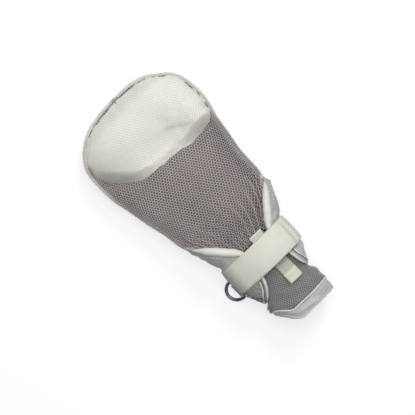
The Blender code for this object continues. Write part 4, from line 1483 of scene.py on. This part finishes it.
seam_rows = []
for y in steps(-0.1125, CUFF_SEAM_Y, 24):
    turns = [math.radians(a) for a in steps(168, 201, 7)]
    seam_rows.append([cuff_point(y, a, -0.0006, cuff_rough(y, a)) for a in turns])
seam_tape = thicken(turn_out(loft("cuff_tape", seam_rows, HEM), lambda p: LEFTWARD), 0.0007)
keep(seam_tape, "hem_tape", "cuff_seam_tape")

# ---------------------------------------------------------------- the finger end's wandering outline

# How far the finger end's outline lies outside an even curve, in metres, by angle from its tip. Read off
# the photo's outline, set against the outline this script draws.
WANDER = (
    (-1.57, 0.0004), (-1.15, 0.0005), (-0.85, -0.0002), (-0.53, 0.0002), (-0.22, 0.0001), (0.0, 0.0011),
    (0.18, 0.0015), (0.43, 0.0012), (0.61, -0.0004), (0.90, 0.0006), (1.14, 0.0014), (1.30, 0.0011),
    (1.57, 0.0004),
)


def settle(made):
    """Lets the finger end's outline wander a little, the same way for every layer of it."""
    places = coordinates(made.data)
    x, ahead = places[:, 0].copy(), np.maximum(places[:, 1] - 0.075, 0)
    reach = np.hypot(x, ahead)
    turn = np.arctan2(x, ahead + 0.02)
    turns = np.linspace(-1.6, 1.6, 161)
    shift = np.interp(turn, turns, [along(WANDER, t) for t in turns])
    shift += 0.0003 * np.sin(places[:, 1] * 150 + x * 40)
    grow = np.clip(reach / 0.07, 0, 1.05) ** 2 * np.clip((places[:, 1] + 0.01) / 0.03, 0, 1)
    shift *= grow / (reach + 1e-6)
    places[:, 0] += shift * x
    places[:, 1] += shift * ahead
    made.data.vertices.foreach_set("co", places.ravel())
    made.data.update()


for made in (net, palm_pad, lining, finger_pad, binding, seam_stitches, pad_sewing):
    settle(made)

# ---------------------------------------------------------------- camera, light and floor

camera_data = bpy.data.cameras.new("camera")
camera_data.lens = 90
camera_data.sensor_width = 36
camera = bpy.data.objects.new("camera", camera_data)
bpy.context.scene.collection.objects.link(camera)
# The camera looks straight down, turned so that the finger end points to the picture's upper left.
right, up = Vector((0.7193, -0.6947, 0)), Vector((0.6947, 0.7193, 0))
back = right.cross(up)
looks_at, distance = Vector((-0.0052, 0.0001, 0.030)), 1.045
turn = Matrix((right, up, back)).transposed().to_4x4()
camera.matrix_world = Matrix.Translation(looks_at + back * distance) @ turn
bpy.context.scene.camera = camera
bpy.context.scene.view_settings.view_transform = "Standard"


def area_light(name, place, size, power):
    data = bpy.data.lights.new(name, "AREA")
    data.shape = "DISK"
    data.size = size
    data.energy = power
    made = bpy.data.objects.new(name, data)
    bpy.context.scene.collection.objects.link(made)
    made.location = place
    made.rotation_euler = (Vector((0, 0, 0.02)) - Vector(place)).to_track_quat("-Z", "Y").to_euler()


area_light("overhead", (0.10, 0.12, 1.35), 1.0, 17.5)
area_light("key", (0.80, 0.45, 1.00), 0.45, 9.0)

world = bpy.data.worlds.new("studio")
world.use_nodes = True
world.node_tree.nodes["Background"].inputs["Color"].default_value = (1, 1, 1, 1)
world.node_tree.nodes["Background"].inputs["Strength"].default_value = 0.22
bpy.context.scene.world = world

floor_mesh = bpy.data.meshes.new("floor")
shape = bmesh.new()
bmesh.ops.create_grid(shape, x_segments=1, y_segments=1, size=3)
shape.to_mesh(floor_mesh)
shape.free()
floor = bpy.data.objects.new("floor", floor_mesh)
floor.location.z = -0.0006
bpy.context.scene.collection.objects.link(floor)
pale = Nodes("pale_floor")
pale.finish((0.25, 0.25, 0.26, 1), 0.9, None, 0.0)
pale.shader.inputs["Emission Color"].default_value = (0.96, 0.96, 0.98, 1)
pale.shader.inputs["Emission Strength"].default_value = 0.71
floor_mesh.materials.append(pale.material)
floor.visible_diffuse = False
